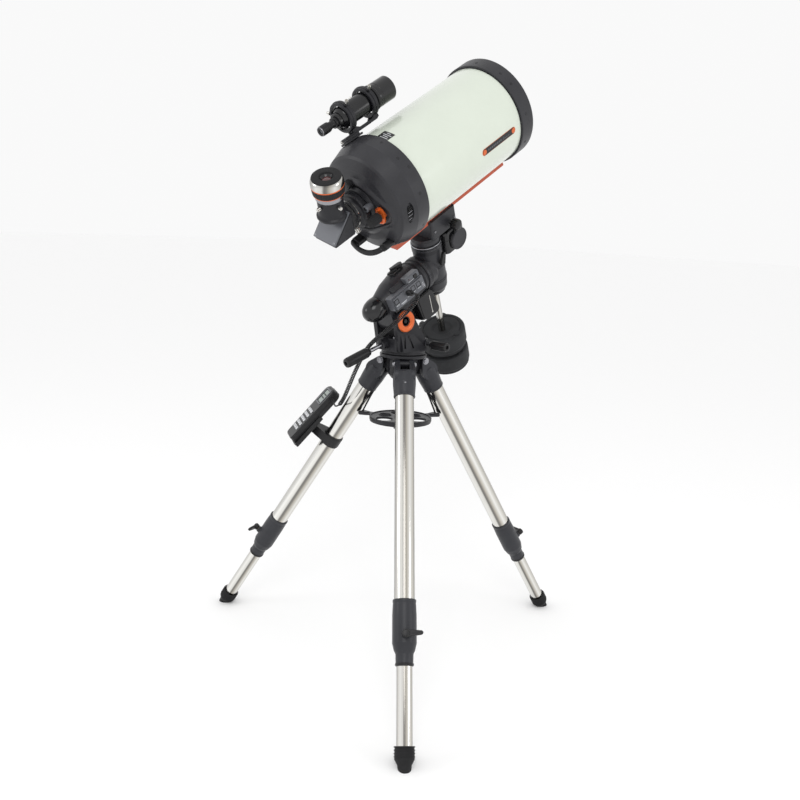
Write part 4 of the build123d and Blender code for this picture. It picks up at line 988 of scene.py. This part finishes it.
def add_drive_covers():
    side = placed(crossing - polar_dir * 88 - polar_up * 72 + east * 40, polar_dir, east)
    prism("polar_drive_side", side, hull([(-18, -22, 13), (18, -22, 13), (-18, 24, 10), (18, 24, 10)]),
        -0.5, 3.2, GLOSS, "polar_unit", bevel=1.6, steps=3)
    prism("polar_drive_line", side, hull([(2, -24, 1.1), (12, 22, 1.1)], 16), 3.0, 3.9, CHROME, "polar_unit")
    prism("polar_drive_dot", side, hull([(2, -24, 2.1), (2.5, -22, 2.1)], 24), 3.0, 4.1, CHROME, "polar_unit")
    for k, (x, y) in enumerate(((-24, -28), (24, -28), (-24, 27), (24, 27))):
        cap_screw(f"polar_drive_screw_{k}", shifted(side, x, y, 1.5), 2.0, STEEL, "polar_unit", depth=0.9)
    disc = placed(crossing + polar_dir * 86 + dec_dir * 46 - side_dir * 42, polar_dir, -side_dir)
    lathe("dec_motor_disc", disc, [(AXIS, 0.1), (28, 0.1), (31, -1), (31.6, 1.2), (29.6, 3.8), (26.5, 4.2),
        (25.5, 3.0), (AXIS, 2.7)], CHARCOAL, "turning_head", "cover_black", bevel=0.3)
    for k in range(6):
        way = turned_about_z(disc, radians(60 * k + 15))
        cap_screw(f"dec_motor_screw_{k}", shifted(way, 27.6, 0, 3.9), 1.2, DARK_SCREW, "turning_head",
            depth=0.5)
    belt = placed(crossing + polar_dir * 80 + dec_dir * 50, polar_dir, dec_dir)
    prism("dec_motor_seam", belt, rectangle(84.8, 74.8, 16.4), 8, 9.2, DARK, "turning_head", "cover_black")


add_drive_covers()


def add_yoke_details():
    for name, way in (("east", east), ("west", -east)):
        face = placed(pivot + way * 48, north, way)
        lathe(f"latitude_ring_{name}", face, [(13.6, 0), (29.2, 0), (29.6, 1.5), (29.6, 4), (27.5, 7.2),
            (24.5, 8.2), (19.5, 8.2), (16, 6.8), (13.6, 4.5)], ORANGE, "base", turns=128, bevel=0.3)
        lathe(f"latitude_hub_{name}", face, solid([(11.6, 2), (13.2, 3.0), (13.3, 0.5), (13.3, -2)]),
            BLACK_CAST, "base", "cast_black", bevel=0.3)
        # painted shade: a near-black six-sided plug in the hub's socket where there is only shade
        lathe(f"latitude_socket_{name}", face, solid([(6.2, 2.05), (6.2, 2.3)]), DARK, "base", "cast_black",
            turns=6)
        lathe(f"latitude_rim_{name}", face, bored(29.7, [(32.2, 0.1), (32.6, 1.2), (31.4, 2.6)]),
            BLACK_CAST, "base", "cast_black", turns=128, bevel=0.3)
    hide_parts("latitude_rings")
    for side, way in (("east", 1), ("west", -1)):
        for k, (start, lean) in enumerate(((-44, 0.05), (-14, -0.42))):
            slot = placed(Vector((way * 48.5, start, 901)), Vector((0, 1, -lean)), Vector((0, lean, 1)))
            # painted shade: near-black strips laid in the skirt's slots where there is only shade
            prism(f"skirt_slot_{side}_{k}", slot, rectangle(5.0, 2, 0.8), 0, 32, DARK, "base", "cast_black")
    lathe("base_edge_bead", floor_place, [(60.05, 879), (61, 879.5), (61.4, 881), (61, 882.5),
        (60.05, 883)], BLACK_CAST, "base", "cast_black", turns=160)
    for k in range(3):
        angle = radians(-60 + 120 * k)
        spot = Vector((53 * cos(angle), 53 * sin(angle), 890.5))
        cap_screw(f"base_screw_{k}", placed(spot, east, up), 3.2, STEEL, "base", depth=2.6)
    level = placed(Vector((20, -48, 922)), east, up)
    lathe("bubble_level", level, [(AXIS, 0.1), (8, 0.1), (8.6, 1), (8.4, 3.4), (6.6, 4), (6.2, 3.2),
        (AXIS, 3.6)], STEEL, "base", turns=64)
    lathe("bubble_level_glass", level, [(AXIS, 3.4), (6.3, 3.2), (4, 4.2), (AXIS, 4.6)], SCREEN, "base",
        turns=48)


add_yoke_details()


def fluted_grip(name, place, start, end, radius, body):
    """A handle of plastic with eight deep flutes, a moulded collar and a socket in its end."""
    span = end - start

    def wave(angle, height):
        share = (height - start) / span
        depth = 0.16 if 0.12 < share < 0.93 else 0.0
        return 1 - depth * max(0.0, cos(angle * 8)) ** 3

    rings = [start + span * share for share in (0.13, 0.5, 0.92)]
    return lathe(name, place, solid([(radius * 0.55, start), (radius * 0.78, start + 2.5),
        (radius * 0.9, start + span * 0.11), (radius, rings[0]), (radius * 1.02, rings[1]),
        (radius, rings[2]), (radius * 0.9, end - 1), (radius * 0.75, end), (radius * 0.42, end),
        (radius * 0.38, end - 5)]), PLASTIC, body, turns=160, wave=wave, bevel=0.5)


def add_bolts_and_grips():
    slope = radians(19.5)
    screw_dir = -north * cos(slope) - up * sin(slope)
    screw_place = placed(Vector((0, -70, 908)), east, screw_dir)
    grip = fluted_grip("latitude_grip", screw_place, 56, 140, 13.6, "latitude_screw")
    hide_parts("latitude_screw")

    def thread(angle, height):
        return 1 + 0.03 * sin(height * 2 * pi / 1.6 + angle)

    shaft = solid([(5.8, -24 + 1.0 * k) for k in range(83)])
    lathe("latitude_screw_shaft", screw_place, shaft, STEEL, "latitude_screw", turns=32, wave=thread)
    lathe("latitude_screw_collar", screw_place, bored(6.1, [(13.2, 10), (14, 11), (14, 13), (12, 14.5)]),
        BLACK_CAST, "base", "cast_black", turns=64, bevel=0.4)
    for name, way in (("east", east), ("west", -east)):
        place = placed(Vector((0, 42, 906)), north, way)
        knob = fluted_grip(f"azimuth_grip_{name}", place, 66, 128, 12.6, f"azimuth_{name}")
        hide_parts(f"azimuth_knob_{name}")
        shaft = [(AXIS, 12.6)] + [(4.85, 12.6 + 1.0 * k) for k in range(56)] + [(AXIS, 68)]
        lathe(f"azimuth_screw_{name}", place, shaft, STEEL, f"azimuth_{name}", turns=32, wave=thread)
    saddle_line = placed(crossing + polar_dir * 62 + dec_dir * 112, polar_dir, -side_dir)
    for k, along in enumerate((0, 80)):
        block_place = placed(crossing + polar_dir * along + dec_dir * 112 - side_dir * 42.2, polar_dir,
            -side_dir)
        cap_screw(f"saddle_screw_{k}", shifted(block_place, 0, 8, 0), 3.2, STEEL, "dec_head", depth=2.2)
    knob = lathe("saddle_grip", saddle_line, [(AXIS, 50), (9, 50), (11, 52), (15, 53), (15.4, 55),
        (15.4, 69), (14, 72), (9, 74), (AXIS, 74.4)], PLASTIC, "saddle_knob", turns=140,
        wave=grooved(7, 0.12, low=52.5, power=2, phase=cos), bevel=0.6)
    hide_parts("saddle_knob")
    lathe("saddle_knob_shank", saddle_line, solid([(4.9, 24), (4.9, 50.2)]), STEEL, "saddle_knob", turns=32)


add_bolts_and_grips()


# ---- counterweights ----
def add_weights():
    for name, top, body in (("upper", -232, "weight_upper"), ("lower", -303, "weight_lower")):
        low = top - 60
        weight = lathe(f"weight_{name}", dec_place, [(10.1, top - 6), (24, top - 6), (27, top - 5),
            (31, top - 1.5), (36, top - 0.6), (52, top - 0.6), (55, top - 3.2), (58, top - 0.8),
            (62, top - 0.4), (66, top - 2), (68, top - 6), (68.3, top - 12), (68.3, low + 14),
            (66, low + 11), (64.5, low + 6), (65.5, low + 2), (64, low), (12, low), (10.1, low + 2)], IRON,
            body, turns=160, bevel=0.5)
        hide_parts(f"counterweight_{name}")
        for k in range(3):
            notch = placed(crossing + dec_dir * (top - 0.4), polar_dir, dec_dir)
            spot = turned_about_z(notch, radians(35 + 120 * k))
            prism(f"weight_{name}_pad_{k}", shifted(spot, 60, 0, 0),
                hull([(-3, -8, 4), (-3, 8, 4), (4, 0, 4)], 24), -2.5, 1.8, IRON, body, bevel=1.0, steps=3)
        screw = placed(crossing + dec_dir * (top - 24), dec_dir, side_dir)
        thumb_screw(f"weight_{name}_screw", screw, 60, 72, 5.0, body)
        lathe(f"weight_{name}_grip", screw, [(AXIS, 70), (9, 70), (11.5, 72), (12, 75), (12, 84),
            (10.5, 87), (AXIS, 88)], PLASTIC, body, "weight_iron",
            wave=grooved(6, 0.1, low=71, power=2, phase=cos), bevel=0.5)
    def milled(angle, height):
        return 1 + (0.012 * sin(angle * 40) if -390 < height < -385 else 0)

    end = -385
    lathe("bar_end_cap", dec_place, [(AXIS, end + 0.4), (14.6, end + 0.4), (16, end - 1), (16, end - 4.4),
        (14.6, end - 5.6), (8, end - 6), (7.4, end - 12.4), (AXIS, end - 12.8)], CHROME, "turning_head",
        turns=120, wave=milled)
    lathe("bar_collar", dec_place, bored(10.05, [(15.2, -100), (16, -98), (16, -93), (14.6, -90.6)]),
        CHROME, "turning_head")


add_weights()


# ---- tripod ----
def add_leg_details():
    for name, bearing in leg_bearings.items():
        place = leg_place(bearing)
        leg_body, foot_body, lock_body = f"{name}_leg", f"{name}_extension", f"{name}_lock"
        lathe(f"{name}_socket_lip", place, [(25.6, 92.6), (28.4, 92.4), (29.2, 94), (29.0, 96.6),
            (27.6, 98), (25.6, 98)], LEG_CAST, leg_body, bevel=0.3)
        lathe(f"{name}_collar_lip", place, [(25.6, 631), (27.6, 630.6), (29, 632), (29.2, 637), (28.2, 640),
            (25.6, 640)], LEG_CAST, leg_body, bevel=0.3)
        lathe(f"{name}_collar_end", place, bored(19.3, [(22.0, 781), (23, 783), (22.6, 787),
            (20.8, 788.4)]), PLASTIC, leg_body, "casting_grey", bevel=0.3)
        for k in range(4):
            station = 966 + 7 * k
            lathe(f"{name}_boot_rib_{k}", place, [(23.2, station), (25.0, station + 1),
                (25.2, station + 2.6), (23.4, station + 3.8)], RUBBER, foot_body, "rubber")
        for k, x in enumerate((-27.4, 27.4)):
            washer = placed(in_mm(place, x, 0, 0), -up, axis(place, 0) * (1 if x > 0 else -1))
            lathe(f"{name}_hinge_washer_{k}", washer, bored(4.1, [(9.6, 0.0), (9.6, 1.2)]), STEEL, leg_body,
                turns=48)
        rivet = placed(in_mm(place, 0, 30.2, 66), axis(place, 0), axis(place, 1))
        cap_screw(f"{name}_socket_rivet", rivet, 2.4, STEEL, leg_body, depth=1.0)
        boss = placed(in_mm(place, 0, 0, 716), axis(place, 0), axis(place, 1))
        paddle = hull([(0, 0, 9.2), (20, 0, 6.4), (36, 1.5, 5.2)])
        knob = prism(f"{name}_paddle", boss, paddle, 44, 51, PLASTIC, lock_body, bevel=1.8, steps=3)
        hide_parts(f"{name}_lock_knob")
        lathe(f"{name}_paddle_hub", boss, [(AXIS, 38), (7.2, 38), (8.8, 41), (9.4, 44), (9.4, 51),
            (7.6, 53.6), (AXIS, 54)], PLASTIC, lock_body, turns=64, bevel=0.5)
        lathe(f"{name}_paddle_screw", boss, solid([(3.9, 30.3), (3.9, 38.2)]), BRASS, lock_body, turns=32)
        prism(f"{name}_paddle_rib", boss, hull([(8, 0, 1.2), (33, 1.2, 1.0)], 16), 50.6, 52.2, PLASTIC,
            lock_body, bevel=0.4)
        outward = Vector((cos(radians(bearing)), sin(radians(bearing)), 0))
        tip = outward * 121 + up * 696
        top = outward * 74 + up * 786
        tube_through(f"{name}_brace", [tip, tip.lerp(top, 0.45) + outward * 1.2, tip.lerp(top, 0.75), top],
            2.4, RUBBER, "tray")
        shoe = placed(outward * 117 + up * 689, outward, up)
        prism(f"{name}_tray_shoe", shoe, hull([(-10, 0, 9), (6, -9, 5), (6, 9, 5)]), -2, 8, BLACK_CAST,
            "tray", "tray_black", bevel=1.5, steps=3)


add_leg_details()


def add_tray_details():
    for bearing in leg_bearings.values():
        angle = radians(bearing)
        spot = Vector((48 * cos(angle), 48 * sin(angle), 695))
        lathe(f"tray_hole_rim_{bearing}", placed(spot, east, up),
            [(16, -0.2), (18.6, -0.2), (18.6, 1.0), (17.6, 1.8), (16.4, 1.8), (16, 1.2)], BLACK_CAST,
            "tray", "tray_black", turns=72)
    lathe("tray_rim", floor_place, [(83.2, 686), (86.4, 686), (87.4, 688), (87.4, 695.5), (86, 697.4),
        (83.8, 697.4), (83.2, 696)], BLACK_CAST, "tray", "tray_black", turns=160, bevel=0.4)
    lathe("tray_hub_boss", floor_place, [(5.4, 699), (12, 699.5), (14.5, 701), (15, 703.5), (8, 706),
        (5.4, 706)], BLACK_CAST, "tray", "tray_black", turns=72)
    lathe("tray_knob_cap", floor_place, bored(5.4, [(10.6, 661), (11, 663), (11, 664)]), PLASTIC,
        "tray_knob", turns=64)


add_tray_details()


# ---- handset ----
def add_handset():
    face_plane = shifted(handset_place, 0, 0, 14)
    shell = hull([(-69, 16, 24.6), (-69, -16, 24.6), (85, 24, 12.6), (85, -24, 12.6)])
    prism("handset_waist", handset_place, shell, -1.6, 1.6, RUBBER, "handset", "handset_black", bevel=0.7)
    prism("handset_screen", shifted(face_plane, -58, 0, 0), rectangle(41, 34, 2), -1.4, -0.5, SCREEN,
        "handset", bevel=0.2)
    for k, (x, y, w, h) in enumerate(((-58, 22.5, 54, 5), (-58, -22.5, 54, 5), (-82.5, 0, 5, 50),
        (-33.5, 0, 5, 50))):
        prism(f"handset_bezel_{k}", shifted(face_plane, x, y, 0), rectangle(w, h, 2), -1.4, 1.2, PANEL,
            "handset", "handset_black", bevel=0.7)
    for k in range(2):
        for j in range(9):
            width = 2.4 if (j + k) % 3 else 1.2
            prism(f"handset_screen_mark_{k}_{j}", shifted(face_plane, -64 + 11 * k, -13 + 3.2 * j, 0),
                rectangle(4.2, width), -0.5, -0.38, DARK, "handset", "handset_black")
    for row, column in [(row, column) for row in range(5) for column in range(3)]:
        x, y = 30 + (row - 2) * 16, (column - 1) * 17
        top = shifted(face_plane, x, y, 1.6)
        prism(f"handset_key_{row}_{column}", top, rectangle(9.4, 13.4, 3), -0.9, 1.0, KEY, "keys",
            bevel=0.7, steps=3)
        prism(f"handset_key_mark_{row}_{column}", top, rectangle(3.8, 1.2), 1.0, 1.12, DARK, "keys",
            "key_silver")
        prism(f"handset_key_mark_small_{row}_{column}", shifted(top, -2.4, 0, 0), rectangle(0.8, 6), 1.0,
            1.1, DARK, "keys", "key_silver")
    collar = placed(in_mm(handset_place, -66, 44, 0), handset_down, axis(handset_place, 1))
    lathe("handset_cord_relief", collar, bored(1.5, [(7, -6), (7.4, -4), (6, -1), (4, 6), (3.2, 12),
        (2.2, 13)]), RUBBER, "handset", "cord_black", turns=48, bevel=0.3)


add_handset()


# ---- stage and light ----
def add_stage():
    bpy.context.scene.view_settings.view_transform = "Standard"
    material, _, bsdf = shader("studio_floor")
    bsdf.inputs["Base Color"].default_value = (0.985, 0.985, 0.985, 1)
    bsdf.inputs["Roughness"].default_value = 0.9
    mesh = from_faces("floor", [(-40, -40, 0), (40, -40, 0), (40, 40, 0), (-40, 40, 0)], [(0, 1, 2, 3)])
    mesh.materials.append(material)
    floor = bpy.data.objects.new("floor", mesh)
    bpy.context.scene.collection.objects.link(floor)
    world = bpy.data.worlds.new("studio")
    bpy.context.scene.world = world
    world.use_nodes = True
    world.node_tree.nodes["Background"].inputs["Color"].default_value = (1, 1, 1, 1)
    world.node_tree.nodes["Background"].inputs["Strength"].default_value = 0.95
    lights = [("key", (2.6, -2.6, 3.4), 1.8, 34), ("fill", (3.4, 1.4, 1.6), 1.2, 10),
        ("left", (-1.6, -3.0, 1.8), 1.2, 12)]
    for name, at, size, power in lights:
        data = bpy.data.lights.new(name, "AREA")
        data.size = size
        data.energy = power
        lamp = bpy.data.objects.new(name, data)
        lamp.location = at
        lamp.rotation_euler = (Vector((0, 0.05, 1.0)) - Vector(at)).to_track_quat("-Z", "Y").to_euler()
        bpy.context.scene.collection.objects.link(lamp)


add_stage()
